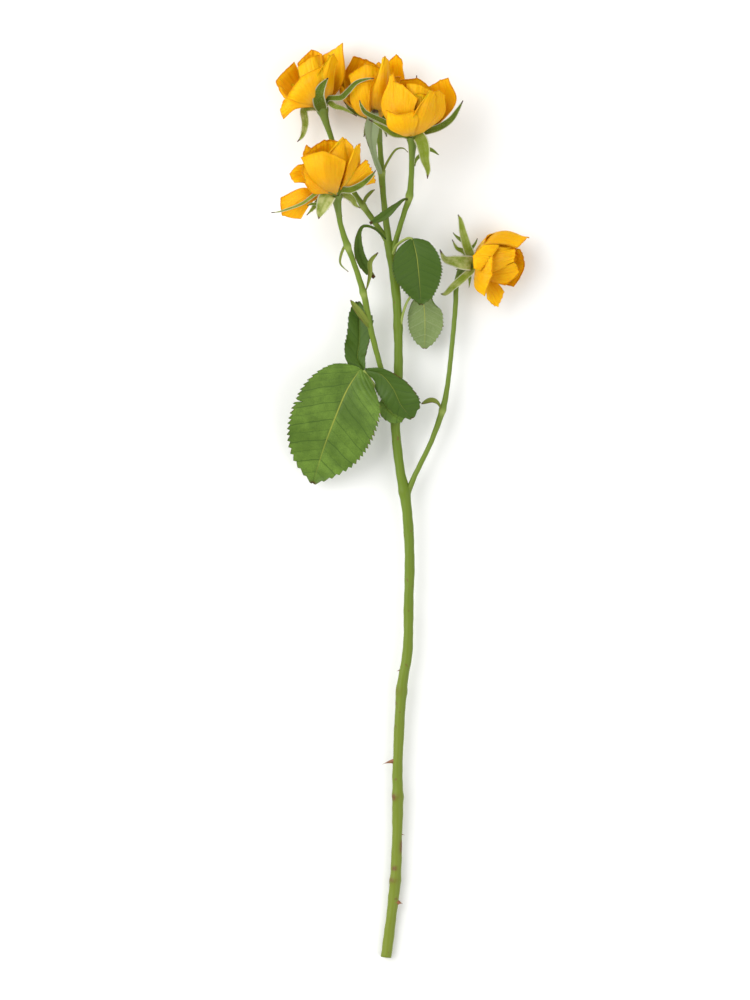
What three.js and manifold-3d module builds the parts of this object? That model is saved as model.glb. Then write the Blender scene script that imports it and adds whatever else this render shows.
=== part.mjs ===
// A cut stem of spray rose, lying on a flat surface: a branched stem, five blooms with their calyxes,
// leaves and bracts. Millimetres. +Y runs up the stem, +X to its right, +Z up from the surface. The
// origin lies on the surface, under the middle of the whole.
import * as THREE from "three";
import { mergeVertices } from "three/addons/utils/BufferGeometryUtils.js";
import Module from "manifold-3d";

const wasm = await Module();
wasm.setup();

// Driving sizes
const GAP = 0.3; // left between neighbouring pieces
const PETAL_THICK = 0.7;
const GREEN_THICK = 0.7; // leaf, bract and sepal blades
const HIP_HEIGHT = 6.5; // the green cup under the petals, a funnel
const HIP_RADIUS = 3.2; // at its rim
const FOOT_RADIUS = 1.8; // how far from the axis a petal is rooted
const FOOT_SPREAD = 40; // degrees from its middle to the margins there
const STALK_SIDES = 6;
const STEM_SIDES = 8;

// Colours, as the surfaces look in daylight
const PETAL_YELLOW = 0xf9b50a;
const STEM_GREEN = 0x6f9138;
const LEAF_GREEN = 0x47712b;
const SEPAL_GREEN = 0x8fa14c;

// The main stem and the five flower stalks: x, y, z and radius along each.
const MAIN_STEM = [
  [-7.0, -228.5, 2.4, 2.75],
  [-5.2, -215, 2.9, 2.6],
  [-3.4, -200, 3.5, 2.65],
  [-2.2, -188, 3.9, 2.75],
  [-1.5, -170, 4.5, 2.55],
  [-1.1, -149, 5.2, 2.75],
  [-1.2, -133, 5.7, 2.5],
  [0.7, -96, 6.9, 2.65],
  [3.8, -75, 7.6, 2.5],
  [4.3, -52, 8.3, 2.45],
  [4.8, -30, 9.0, 2.5],
  [3.9, -10, 9.6, 2.55],
  [2.2, 4, 10.0, 2.7],
  [0.2, 14, 10.3, 2.4],
  [-1.8, 30, 10.8, 2.3],
  [-2.3, 42, 11.2, 2.5],
  [-0.9, 62, 11.8, 2.25],
  [-1.0, 85, 12.6, 2.2],
  [-1.9, 102, 13.1, 2.25],
  [-4.0, 119, 13.6, 2.3],
  [-5.6, 129, 14.0, 2.5],
];
const STALKS = [
  [
    [-5.6, 128, 13.8, 1.7],
    [-10.5, 135.5, 13.2, 1.35],
    [-16.5, 144, 11.6, 1.5],
    [-23.5, 154.5, 9.6, 1.3],
    [-28.5, 165, 10.2, 1.25],
    [-33.0, 177, 12.8, 1.25],
    [-37.2, 189, 15.4, 1.6],
  ],
  [
    [-5.6, 128, 13.8, 1.9],
    [-7.2, 141, 13.2, 1.6],
    [-8.4, 152.5, 12.0, 1.5],
    [-9.2, 163, 10.4, 1.75],
    [-9.8, 174, 9.4, 1.35],
    [-10.6, 183.5, 11.0, 1.6],
  ],
  [
    [-4.2, 121, 13.6, 1.6],
    [-1.6, 131, 16.4, 1.4],
    [2.0, 143, 20.4, 1.35],
    [4.6, 151, 23.2, 1.7],
    [5.6, 162, 27.4, 1.4],
    [6.0, 174, 33.0, 1.6],
  ],
  [
    [-2.4, 40, 10.9, 1.9],
    [-5.4, 52, 13.4, 1.45],
    [-9.5, 65.5, 16.4, 1.35],
    [-14.6, 85, 19.8, 1.5],
    [-18.0, 102, 22.2, 1.6],
    [-22.5, 116.5, 24.2, 1.35],
    [-26.8, 128, 26.0, 1.6],
    [-29.6, 137, 27.4, 1.35],
    [-31.0, 145.5, 28.6, 1.6],
  ],
  [
    [2.4, 0, 9.8, 1.9],
    [6.6, 10.5, 10.0, 1.4],
    [11.2, 20, 10.2, 1.3],
    [15.9, 30, 10.4, 1.3],
    [21.2, 45, 10.6, 1.6],
    [23.8, 58, 10.7, 1.25],
    [26.0, 78, 11.0, 1.2],
    [27.6, 96, 11.2, 1.25],
    [28.2, 108, 11.2, 1.35],
    [30.6, 116, 11.0, 1.6],
  ],
];

// Prickles: where along the main stem, which way each points round it (degrees from +X towards +Z), how
// far it stands out and the radius of its root.
const PRICKLES = [
  { y: -131, turn: 175, length: 4.6, root: 1.1 },
  { y: -201, turn: 8, length: 2.2, root: 1.9 },
  { y: -85, turn: 168, length: 1.6, root: 0.7 },
  { y: -173, turn: 20, length: 1.2, root: 1.5 },
  { y: -60, turn: 250, length: 3.0, root: 1.1 },
  { y: -160, turn: 285, length: 3.2, root: 1.2 },
];

// The heart of each bloom: three petals wrapped one inside the next.
const HEART = [
  { cup: 3.0, lean: [18, 0, -14], length: 20, half: 6.5, tuck: 8, drop: 0.25 },
  { cup: 4.4, lean: [30, 1, -14], length: 21, half: 8.5, tuck: 8, drop: 0.25 },
  { cup: 5.8, lean: [42, 2, -12], length: 22, half: 10, tuck: 8, drop: 0.25 },
];
const ROLL_RADIUS = 1.2; // of the rolled margins

// A petal at the back of a bloom. lean gives the angle from the bloom's axis at the foot, half way and at
// the lip. curl turns the lip further out, cup is the radius that the petal wraps round, tuck sets one
// margin further in than the other, and roll turns each margin back. drop rounds the lip's corners and
// peak draws out its tip. Angles are in degrees.
const BACK_PETAL = {
  lean: [90, 24, 2], curl: 20, length: 29, half: 12.5, cup: 12,
  tuck: 7, roll: [30, 30], drop: 0.3, peak: 0.05,
};

// Heights above the seat and radii of the green cup, and of the short core that the petals are rooted in.
const HIP_PROFILE = [
  [GAP, 0],
  [GAP, 1.8],
  [2.6, 2.2],
  [4.8, 3.0],
  [HIP_HEIGHT, HIP_RADIUS],
  [HIP_HEIGHT, 0],
];
const CORE_PROFILE = [
  [HIP_HEIGHT + GAP, 0],
  [HIP_HEIGHT + GAP, 3.2],
  [HIP_HEIGHT + 2.4, 6.2],
  [HIP_HEIGHT + 7, 6.6],
  [HIP_HEIGHT + 14, 4],
  [HIP_HEIGHT + 18, 0],
];
const TOOTH_DEPTH = 0.06; // of the leaf's half width

// The blooms, each seated where its stalk ends. axis is the way that it looks. The petals that show are
// laid out one by one: each has the routes of its left margin, its middle and its right margin past its
// foot, as distances from the top of the green cup: to the right, up the stem, and above the plane
// through the bloom's axis. roll turns the left and right margins back by so many degrees. The path up
// the middle of each sepal is given in the same way. The heart and the petals at the back are placed by
// the turn round the axis: 0 faces up from the surface and 90 is a quarter turn on, to the right of a
// bloom that looks along +Y.
const BLOOMS = [
  {
    axis: [-0.26, 0.96, 0.04],
    heart: 40,
    petals: [
      {
        turn: 125, left: [[-5, 9, -9], [-4, 19, -11], [-1.5, 26, -9]],
        middle: [[3, 9, -8], [4, 20, -6.5], [5, 29.2, -5]],
        right: [[8.2, 9.5, 2], [11.2, 18, 5.5], [10.3, 32.7, 1]],
      },
      {
        turn: 60, left: [[-3.6, 7, 7.5], [-0.8, 15.5, 10.5], [4.2, 26, 8.5]], roll: [150, 0],
        middle: [[1.5, 7, 8.5], [2.8, 16, 10.5], [5.2, 26.8, 7.5]],
        right: [[5.4, 8, 5], [5.8, 16, 5.5], [7.2, 23.5, 4.5]],
      },
      {
        turn: 190, left: [[-8, 7, -5], [-11.5, 15, -7], [-12, 22.5, -5.5]],
        middle: [[-3, 9, -8], [-5.5, 20, -9], [-5.3, 29.2, -7]],
        right: [[2, 9, -6], [1, 19, -7], [-0.8, 27, -6]],
      },
      {
        turn: 0, left: [[-7, 7, 3], [-10, 14, 3.5], [-11.6, 20.4, 0.5]],
        middle: [[-2, 8, 7], [-4, 16, 8], [-6, 24.8, 4.5]], right: [[2, 9, 6], [1, 17, 6], [-1.5, 26.4, 1]],
      },
      {
        turn: -100, left: [[-9, 1.5, 5], [-14, 3, 6.5], [-18.3, 4.6, 6]],
        middle: [[-9, 4, -1], [-16, 8.5, -1], [-22.6, 13.8, 1]],
        right: [[-6, 8, -7], [-10.5, 16, -8], [-13.3, 23.2, -5]],
      },
      {
        turn: -20, left: [[-6.5, 1.5, 6.5], [-12.5, 3, 9.5], [-17.8, 5, 8.5]],
        middle: [[-4.5, 5, 9.5], [-7.5, 10.5, 12.2], [-9.8, 15.2, 11.4]],
        right: [[0, 6, 9], [0.6, 13, 10.5], [0.2, 20.4, 9]],
      },
      {
        turn: -60, left: [[-6.5, 0.4, 7], [-13.4, -0.8, 10], [-19.2, -5.6, 8.5]],
        middle: [[-7, 2, 7], [-14.5, 3, 9.5], [-20.6, -1, 8]],
        right: [[-7, 3.5, 5], [-13.5, 5.5, 6.5], [-18.8, 3.6, 6.5]],
      },
    ],
    back: [{ turn: 176, length: 30.2 }, { turn: 248 }],
    sepals: [
      {
        half: 3.3, widest: 0.2,
        path: [
          [-1.3, 2.7, 7.4], [-1.6, 6.2, 10.8], [-0.4, 9.7, 12.4],
          [1.4, 12.5, 13.2], [3.1, 14.7, 13.4],
        ],
      },
      {
        half: 1.5, widest: 0.35,
        path: [
          [2.7, 4.5, 6], [9.1, 4.9, 9.5], [12.4, 7.5, 12.5],
          [17.1, 12.2, 16], [22.4, 13.9, 18], [25.9, 14.2, 18.6],
        ],
      },
      {
        half: 1.5, widest: 0.4,
        path: [[2.7, 3.2, 3.4], [6.4, 0.9, 4.4], [11.1, -0.5, 4.8], [17.4, -4, 4.2]],
      },
      {
        half: 1.9, widest: 0.45,
        path: [[-5.1, 0.2, 1], [-9, -0.8, 1], [-8.4, -7.2, 0], [-9.6, -13.2, -1], [-12.3, -16.6, -2]],
      },
      {
        half: 2, widest: 0.3,
        path: [[0.6, 0.4, -4.6], [1.2, -3, -6.2], [2.2, -7, -6.4], [3.2, -11, -5.6]],
      },
    ],
  },
  {
    axis: [-0.16, 0.91, 0.38],
    heart: 200,
    petals: [
      {
        turn: -150, left: [[-11, 7, -7], [-17.6, 18, -9], [-11.8, 32.8, -7]],
        middle: [[-5, 9, -12], [-6.5, 20, -14], [-5.5, 31, -11]],
        right: [[5, 9, -11], [5, 19, -12], [2.5, 27.5, -9]],
      },
      {
        turn: -85, left: [[-9, 4, 3], [-14, 9, 2], [-16.6, 17, -3]],
        middle: [[-12, 5, -4], [-17.2, 11, -7], [-19.0, 18, -9]],
        right: [[-11, 8, -7], [-16.4, 16, -9], [-17, 23, -9]],
      },
      {
        turn: -15, left: [[-9, 3, 5], [-13, 9, 6], [-13, 16, 4.5]],
        middle: [[-3, 4, 8.5], [-5, 11, 10.5], [-6, 18.6, 9]], right: [[4, 4, 8], [5, 11, 9.5], [2, 20, 9]],
      },
      {
        turn: 0, left: [[-8, 8, 2], [-12, 16, 1.5], [-14, 22, -1]],
        middle: [[-3, 8, 5], [-5, 18, 5], [-5.5, 27.5, 2]], right: [[3, 8, 4], [4, 17, 5], [2, 25, 1]],
      },
      {
        turn: 50, left: [[-1.5, 6, 10], [-1.5, 14, 12.5], [3.4, 31.5, 8]], roll: [140, 0],
        middle: [[2.5, 6, 10], [3.2, 17, 12.5], [4.4, 32.4, 7.5]],
        right: [[6.6, 7, 6.5], [7.2, 17, 7], [6, 27, 5]],
      },
      {
        turn: 115, left: [[5, 9, -9], [6.5, 19, -10], [5.4, 28.6, -8]],
        middle: [[10, 9, -6], [11, 20, -6], [9.7, 33.5, -5]],
        right: [[12, 10, -1], [14, 18, -1], [12.4, 28, -2]],
      },
    ],
    back: [{ turn: 160 }, { turn: 222 }],
    sepals: [
      {
        half: 1.5, widest: 0.35,
        path: [[-5.4, 1.9, 2.4], [-9.4, 3.5, 2], [-13.1, 5.2, 1.4], [-16.1, 8.9, 1.4]],
      },
      { half: 1.9, widest: 0.3, path: [[1.6, -0.6, 4.4], [3.6, -2.6, 6.4], [5.2, -5.2, 7.6]] },
      { half: 2, widest: 0.3, path: [[4.6, 1.6, 0.4], [8.4, 3.6, 0], [11.2, 7.2, 0.4]] },
      { half: 2, widest: 0.3, path: [[2.6, -0.8, -4.2], [4.2, -4, -5], [5, -8, -4]] },
      { half: 2, widest: 0.3, path: [[-3, -0.8, -4.2], [-5, -4, -4.6], [-6.4, -8, -3.6]] },
    ],
  },
  {
    axis: [0.05, 0.97, 0.2],
    heart: 75,
    petals: [
      {
        turn: 100, left: [[6, 9, -9], [8, 17, -10], [7.5, 24.5, -8]],
        middle: [[10.5, 8, -7], [15, 18, -7.5], [13.5, 28.2, -7]],
        right: [[13.2, 7, 0], [21.4, 18, -1], [17.6, 29.5, -4]],
      },
      {
        turn: 70, left: [[6, 6, 8], [8, 13, 9], [9.6, 21.8, 6]],
        middle: [[9, 6, 6], [12.5, 14, 6.5], [13, 22.8, 4.5]],
        right: [[11.5, 7, 2], [15.8, 13, 3], [15.8, 20.5, 3]],
      },
      {
        turn: 35, left: [[-0.5, 3.5, 8], [3, 12.5, 12], [8.4, 23, 9]], roll: [150, 0],
        middle: [[3, 3.5, 9], [7, 12.5, 12], [9.8, 22.4, 8.5]],
        right: [[7, 4, 7], [11, 12, 8.5], [11, 20, 7]],
      },
      {
        turn: -20, left: [[-5.5, 0.8, 7], [-12.4, 4.8, 9.5], [-12.8, 13.2, 10]],
        middle: [[-2.5, 2, 9.5], [-4.5, 6.5, 12.5], [-6, 11.2, 13]],
        right: [[1, 3, 9.5], [2.5, 8, 12], [2.8, 13.4, 11]],
      },
      {
        turn: -95, left: [[-5, 6, 7], [-6, 14, 8], [-9.4, 32, 2]],
        middle: [[-11.5, 7, 0], [-15.4, 16, 0], [-10.5, 30, 0]],
        right: [[-9, 9, -7], [-11, 20, -8], [-6, 30, -6]],
      },
      {
        turn: 0, left: [[-6, 7, 6], [-9, 16, 7], [-6, 27, 3]],
        middle: [[0, 7, 9], [0, 16, 10.5], [0, 24, 6]], right: [[6, 7, 7], [8, 16, 7.5], [7, 24, 3]],
      },
      {
        turn: 180, left: [[-8, 8, -7], [-9, 18, -9], [-6, 28, -6]],
        middle: [[0, 9, -11], [1, 19, -12], [2, 29, -8]], right: [[7, 8, -8], [9, 17, -9], [7.8, 24.5, -6]],
      },
    ],
    back: [{ turn: 150 }, { turn: 215 }],
    sepals: [
      {
        half: 1.9, widest: 0.4,
        path: [[-4.1, 1, 3], [-9.4, 1.6, 4], [-14.8, 4.6, 4.6], [-21.9, 8.5, 4.6]],
      },
      {
        half: 1.4, widest: 0.4,
        path: [
          [-4.4, 2, -1.4], [-14.1, 7.6, -3.6], [-22.9, 11.8, -4],
          [-25.5, 15.2, -4], [-26.5, 18.2, -4],
        ],
      },
      {
        half: 1.8, widest: 0.4,
        path: [[4.6, 2, 0.4], [12.6, 4.6, 0], [18.6, 8.4, 0], [22.4, 13.6, 0], [24.9, 18, -0.6]],
      },
      {
        half: 3.3, widest: 0.34,
        path: [
          [2.2, 0.6, 4], [4.2, -2, 6], [5.4, -6.4, 6.8],
          [5.9, -11, 7.2], [7.4, -16.4, 6.8], [7.2, -20.7, 6.6],
        ],
      },
      {
        half: 2.2, widest: 0.3,
        path: [[0.5, 2.4, -5], [1, 10, -12.8], [1.5, 20, -13.8], [1.9, 30.6, -10]],
      },
    ],
  },
  {
    axis: [-0.14, 0.95, 0.26],
    heart: 140,
    petals: [
      {
        turn: 180, left: [[-9, 7, -6], [-14, 14, -6], [-14, 20.5, -4]],
        middle: [[-4, 8, -9], [-6.5, 18, -10], [-6, 27, -6]],
        right: [[3, 8, -8], [3, 17, -8], [1, 25.9, -5]],
      },
      {
        turn: -15, left: [[-8, 3, 7], [-13.6, 10, 9.5], [-17.2, 18.4, 7.5]],
        middle: [[-3, 5, 10], [-5.5, 13, 12.5], [-6.6, 21, 10]],
        right: [[2, 5, 9], [4, 11, 10], [4.6, 16.4, 8.5]],
      },
      {
        turn: 40, left: [[-3, 8, 4], [-4.5, 17, 5], [3.4, 28.6, 1.5]], roll: [110, 0],
        middle: [[1, 8, 5], [2.5, 17, 5.5], [4, 27, 1]], right: [[6, 8, 3], [8, 15, 3.5], [4.4, 23.2, 1.5]],
      },
      {
        turn: 65, left: [[4, 6, 6], [6.5, 15, 7.5], [10.4, 25, 4]], roll: [130, 0],
        middle: [[7, 6, 4], [9.5, 14, 5], [11.6, 25.4, 2]],
        right: [[9, 7, 1], [11.5, 14, 1.5], [11, 22, 0]],
      },
      {
        turn: 95, left: [[4.5, 5.5, 5], [9.6, 12, 5], [15.4, 18.4, 3]],
        middle: [[6, 4, 4], [13, 8.5, 4.5], [18.4, 12.6, 2.5]],
        right: [[6.5, 3, 0], [13.5, 5, 1], [20.4, 6.6, 0]],
      },
      {
        turn: -105, left: [[-9, 3, 0], [-15, 5.5, 1], [-20.5, 6, 1.5]],
        middle: [[-9, 5, -3], [-16, 10, -3], [-22.8, 10.5, -1]],
        right: [[-7, 8, -6], [-13, 15, -6], [-18.6, 15, -4]],
      },
      {
        turn: -50, left: [[-6, 0.5, 7], [-11.5, 0.4, 10], [-15, 4, 11]],
        middle: [[-7, 3, 7], [-13, 6.5, 8.5], [-17, 9.5, 7]],
        right: [[-7, 6, 4], [-13, 12, 5], [-16.5, 14.6, 4]],
      },
      {
        turn: -80, left: [[-7, -1, 2], [-12, -4, 4], [-17.5, -11.6, 3]],
        middle: [[-8, 0, 1], [-17, -1.5, 4.5], [-26.5, -10, 3]],
        right: [[-8.5, 1, -1], [-16.5, 3.4, 0], [-27.6, -1.4, 1]],
      },
    ],
    back: [{ turn: 150 }, { turn: 220 }],
    sepals: [
      {
        half: 4.2, widest: 0.32, point: 0.85,
        path: [[-3.2, 0.6, 4.4], [-5, -2.2, 7.2], [-6.6, -5.7, 8.4], [-7.9, -9.2, 8.8], [-8.6, -12.1, 9]],
      },
      {
        half: 1, widest: 0.3,
        path: [[-3.4, 1.5, 3.4], [-9, 1, 6], [-16.7, -4.4, 7.2], [-26.7, -8.1, 6.8], [-32.1, -9, 6.4]],
      },
      {
        half: 1.7, widest: 0.35,
        path: [[-3.8, 0, 1.6], [-8.4, -3, 2.4], [-11.3, -6.6, 2.8], [-14.6, -10.1, 2.4]],
      },
      {
        half: 1.7, widest: 0.4,
        path: [[2.5, 2.2, 5], [7.4, 2.4, 6.4], [12.8, 5, 6.6], [17.4, 9, 5.4], [19.8, 12, 4.4]],
      },
      {
        half: 1.8, widest: 0.35,
        path: [[3.6, 0.6, -0.8], [7.9, -1.9, -1.4], [9.6, -4.7, -1], [12.1, -6.5, -0.8]],
      },
    ],
  },
  {
    axis: [0.93, 0.26, 0.2],
    heart: 20,
    petals: [
      {
        turn: -95, left: [[4, 8, -8], [12, 12, -9], [22, 10, -7]],
        middle: [[5, 11, -2], [15, 16.5, -2.5], [27.4, 13.2, -2]],
        right: [[4.6, 9.4, 4.5], [13, 12.5, 4.5], [21.7, 8.4, 3]],
      },
      {
        turn: -25, left: [[5.5, 6, 6], [12.6, 9, 8.5], [4.6, 9.4, 10]],
        middle: [[4, 1, 9.5], [7.8, 2.6, 13], [-0.4, 3.8, 13.8]],
        right: [[1.5, -2, 9], [2.8, -3.6, 12], [0.2, -2.4, 13.6]],
      },
      {
        turn: 35, left: [[2, 1, 7], [5.5, 3.4, 11.5], [9.8, 3.4, 13.5]],
        middle: [[1.5, -3.5, 7.5], [5, -5.5, 12], [9, -5.5, 14.5]],
        right: [[0.4, -6.8, 3.4], [1.4, -12.4, 5.6], [5.6, -16.2, 8]],
      },
      {
        turn: 95, left: [[4, -7, 5], [5.6, -12.5, 6.5], [7, -18, 6]],
        middle: [[5, -8, 2], [9, -14.5, 3], [12.3, -21.6, 3]],
        right: [[8, -6.5, -1], [13, -10.5, -1.5], [15.3, -14, 0]],
      },
      {
        turn: 180, left: [[8, 8, -8], [17, 9.5, -9], [22.4, 6.6, -6]],
        middle: [[9, 2, -11], [18, 2.6, -12.5], [25.2, 0.4, -8.5]],
        right: [[9, -5, -9], [17, -8.5, -9.5], [23.6, -9, -5]],
      },
      {
        turn: 40, left: [[6, 3, 7], [13, 4.5, 8.5], [20.5, 3.6, 6]],
        middle: [[6, 0, 8], [11, 0.5, 9.5], [15.5, 0.2, 8.5]],
        right: [[6, -4, 7], [9, -4.5, 9], [11, -4, 9]],
      },
      {
        turn: 75, left: [[7, 0, 4], [14, 0, 5], [22, -0.6, 3]],
        middle: [[7, -4, 4], [13, -5, 5.5], [18, -5.4, 4.5]],
        right: [[6, -7, 2], [10, -9.5, 4], [12.4, -9.6, 5]],
      },
    ],
    back: [
      { turn: 176, length: 28, lean: [90, 34, -10], curl: 0 },
      { turn: 225, length: 24, lean: [90, 28, -10], curl: 0 },
    ],
    sepals: [
      {
        half: 2.4, widest: 0.3,
        path: [[-1.4, 3.6, 1.8], [-3.3, 8.6, 3.2], [-5.4, 16, 3.6], [-6.6, 21.8, 3.8], [-7.9, 24.6, 4]],
      },
      {
        half: 1.5, widest: 0.35,
        path: [[-2.2, 3.4, -0.8], [-4.9, 6.3, -0.6], [-8.4, 8, 0], [-10.7, 12.2, 0]],
      },
      {
        half: 3.7, widest: 0.28, point: 0.9,
        path: [
          [-1.6, 0.3, 4.6], [-5.8, 0.6, 7.2], [-9.8, 1.3, 8.6],
          [-14.4, 2.4, 9.6], [-16.9, 7.1, 9.8],
        ],
      },
      {
        half: 2, widest: 0.4,
        path: [
          [-1, -3, 3.6], [-5.6, -7.3, 6.6], [-10.2, -11.2, 7.8],
          [-14, -14.8, 7.8], [-16.4, -15, 7.8],
        ],
      },
      { half: 2.2, widest: 0.3, path: [[-1.6, -1, -4.4], [-4.6, -2, -5.4], [-8.6, -2.6, -4.6]] },
    ],
  },
];

// Leaves and bracts. path runs up the middle of each blade and face is the way its upper side looks. left
// and right are the widths to either side of the path at each tenth of it, or else half is the greatest
// half width and widest how far up that is. A small point makes a blunt tip. fold is the angle that each
// half is raised by, and wave the height of its waves. stalk is the leaf stalk's route and radius, where it
// shows.
const LEAVES = {
  leaf_lower: {
    stalk: [
      [-2.6, 42.5, 12.4, 1.0],
      [-6.5, 47, 15.6, 0.8],
      [-12, 56, 17.6, 0.75],
      [-18.2, 64.6, 18.6, 0.75],
    ],
    blades: [
      {
        path: [
          [-19.8, 65.4, 18.8], [-26.6, 54.6, 19.4], [-32.6, 40.4, 17.8],
          [-38.2, 25.5, 13.4], [-43.5, 8.3, 7.6],
        ],
        left: [13.2, 18.5, 20.8, 21.7, 21.9, 21.2, 19.7, 16.3, 9.6, 0.4],
        right: [12.8, 17, 20.4, 22, 22.3, 21.8, 20.2, 17, 10.7, 0.4],
        teeth: 13, face: [0.06, 0.2, 1], fold: 7, wave: 0.7,
      },
      {
        path: [
          [-17.4, 65, 18.5], [-9.6, 62.6, 21.4], [-3.6, 55.6, 22.4],
          [0.5, 47.2, 21.4], [5.9, 40.6, 19.6],
        ],
        left: [1.4, 2.4, 3.4, 5.2, 7.3, 9, 10.2, 10.2, 8, 0.4],
        right: [3.5, 6.2, 8, 8.4, 8.2, 7.8, 7.1, 5.6, 3.6, 0.4],
        teeth: 9, face: [-0.34, -0.5, 1], fold: 8, wave: 0.4,
      },
      {
        path: [
          [-18, 64.6, 18.5], [-21.2, 71, 16.2], [-20.4, 79, 14],
          [-20.6, 90, 11.4], [-21.1, 99, 10.4],
        ],
        left: [4, 5.8, 6.8, 7.5, 7, 6.4, 5.8, 5.2, 3.6, 0.4],
        right: [3.6, 4.8, 5, 5, 6, 7.2, 8.2, 7, 4, 0.4],
        teeth: 8, face: [-0.1, -0.2, 1], fold: 20, wave: 0.6,
      },
      {
        path: [[-8.2, 51, 16.2], [-6.8, 46.4, 16.4], [-3.4, 42.6, 16], [1.4, 39.6, 15]],
        left: [2.4, 3.6, 4.4, 4.8, 5, 4.8, 4.4, 3.6, 2.2, 0.4],
        right: [2.4, 3.6, 4.4, 4.8, 5, 4.8, 4.4, 3.6, 2.2, 0.4],
        teeth: 5, face: [0.1, 0, 1], fold: 4, wave: 0.2,
      },
    ],
  },
  leaf_upper: {
    stalk: [
      [-3.6, 122.5, 15.2, 0.9],
      [-1.5, 127, 19.5, 0.75],
      [3.5, 130.2, 23.6, 0.7],
      [6.2, 129.9, 25.4, 0.7],
    ],
    blades: [
      {
        path: [
          [6.2, 130, 25.3], [8.2, 121.8, 26.4], [9.2, 113.6, 25.6],
          [9.9, 105.4, 23.6], [10.4, 97.3, 21.2],
        ],
        left: [7.4, 9.1, 10.6, 11, 11.1, 10.2, 9.2, 7.4, 5.3, 0.4],
        right: [8.9, 11.4, 12.2, 12.4, 12.1, 11, 9, 6.9, 3.9, 0.4],
        teeth: 10, face: [0, 0.1, 1], fold: 5, wave: 0.5,
      },
    ],
  },
  leaf_back: {
    stalk: [
      [0.2, 87, 13.4, 0.85],
      [1.6, 93.5, 13.8, 0.7],
      [4.6, 100.5, 14.4, 0.65],
      [10.6, 104.6, 14.2, 0.65],
    ],
    blades: [
      {
        path: [[10.6, 104.5, 14.2], [12.2, 94.8, 13], [12.5, 85.2, 11.8], [12.3, 75.6, 10.4]],
        left: [4.4, 6.8, 8.3, 9, 9, 8.8, 8.3, 7, 4.7, 0.4],
        right: [4, 6.2, 7.6, 9.1, 9.2, 9.3, 8.2, 6.5, 4.2, 0.4],
        teeth: 8, face: [0.12, -0.05, -1], fold: 8, wave: 0.5,
      },
    ],
  },
  bract_crown: {
    blades: [
      {
        path: [
          [-9.4, 162.5, 12.0], [-12.4, 170, 16.6], [-14.2, 179, 20.6],
          [-13.8, 187, 23.8], [-12.2, 194.2, 26.2],
        ],
        half: 3.9, widest: 0.62, point: 0.6, teeth: 5, face: [0.25, 0, 1], fold: 14, wave: 0.2,
      },
    ],
  },
  bract_thread: {
    blades: [
      {
        path: [
          [-8.6, 163.5, 11.6], [-6.4, 168.5, 14.4], [-2.4, 174.4, 16.2],
          [1.4, 175.4, 16.2], [4.0, 173.4, 15.4],
        ],
        half: 0.6, widest: 0.25, face: [0, 0, 1], fold: 0,
      },
    ],
  },
  bract_hook: {
    blades: [
      {
        path: [
          [4.2, 149.6, 24.0], [1.6, 149.4, 26.2], [-3, 145.6, 26.4],
          [-8.5, 141.2, 24.4], [-15, 137.8, 21.6],
        ],
        half: 2.2, widest: 0.62, teeth: 3, face: [0.3, 0.2, 1], fold: 24,
      },
    ],
  },
  bract_curl: {
    blades: [
      {
        path: [
          [-7, 130, 15.2], [-12.5, 135.2, 17.8], [-18.4, 136.4, 18.8], [-20.8, 131, 18.6],
          [-20.4, 122.5, 17.4], [-16.8, 115.4, 16.2], [-12.8, 110.8, 15.2],
        ],
        half: 2.9, widest: 0.68, teeth: 4, face: [0.3, -0.1, 1], fold: 20,
      },
    ],
  },
  bract_stalk_4: {
    blades: [
      {
        path: [
          [-17.6, 102, 23.4], [-16.0, 107.5, 24.6], [-14.9, 113, 24.8],
          [-14.8, 118.6, 24.4], [-11, 123.2, 23.6],
        ],
        half: 1.2, widest: 0.66, face: [0.2, 0, 1], fold: 20,
      },
    ],
  },
  bract_pale: {
    blades: [
      {
        path: [[-14.6, 85.4, 20.6], [-18.8, 91.4, 22.4], [-22.2, 96, 23.0], [-24.7, 99.6, 23.0]],
        half: 1.9, widest: 0.4, face: [0.2, 0.1, 1], fold: 22,
      },
    ],
  },
  bract_low_thread: {
    blades: [
      {
        path: [[-27.2, 127.4, 25.8], [-29.4, 122, 25.8], [-29.6, 117.4, 25.2], [-25.8, 113.6, 24.2]],
        half: 0.7, widest: 0.2, face: [0, 0, 1], fold: 0,
      },
    ],
  },
  bract_stalk_1: {
    blades: [
      {
        path: [[-18.4, 146.6, 11.6], [-17.2, 150.4, 14.2], [-14.6, 153.4, 15.4], [-12.6, 154.8, 15.6]],
        half: 0.9, widest: 0.4, face: [0, 0, 1], fold: 10,
      },
    ],
  },
  bract_right: {
    blades: [
      {
        path: [[21.0, 44, 11.6], [18.9, 48.4, 13.4], [15.4, 49.8, 14.2], [10.6, 48.0, 14.2]],
        half: 1.3, widest: 0.66, face: [0, 0.2, 1], fold: 16,
      },
    ],
  },
};

const { abs, cos, exp, floor, max, min, PI, sin, sqrt } = Math;
const rad = THREE.MathUtils.degToRad;
const even = (n) => Array.from({ length: n + 1 }, (_, i) => i / n);
const across = (n) => even(n).map((x) => 2 * x - 1);
const vector = (point) => new THREE.Vector3(...point);

// A geometry as a solid that can be joined and cut.
function solidOf(geometry) {
  geometry.deleteAttribute("normal");
  geometry.deleteAttribute("uv");
  const merged = mergeVertices(geometry, 1e-4);
  return new wasm.Manifold(
    new wasm.Mesh({
      numProp: 3,
      vertProperties: merged.attributes.position.array,
      triVerts: new Uint32Array(merged.index.array),
    }),
  );
}

const joined = (solids) => solids.reduce((a, b) => a.add(b));

// The largest body of a solid, without the scraps that joining and cutting leave.
function mainBody(solid) {
  return solid.decompose().reduce((a, b) => (b.volume() > a.volume() ? b : a));
}

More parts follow.
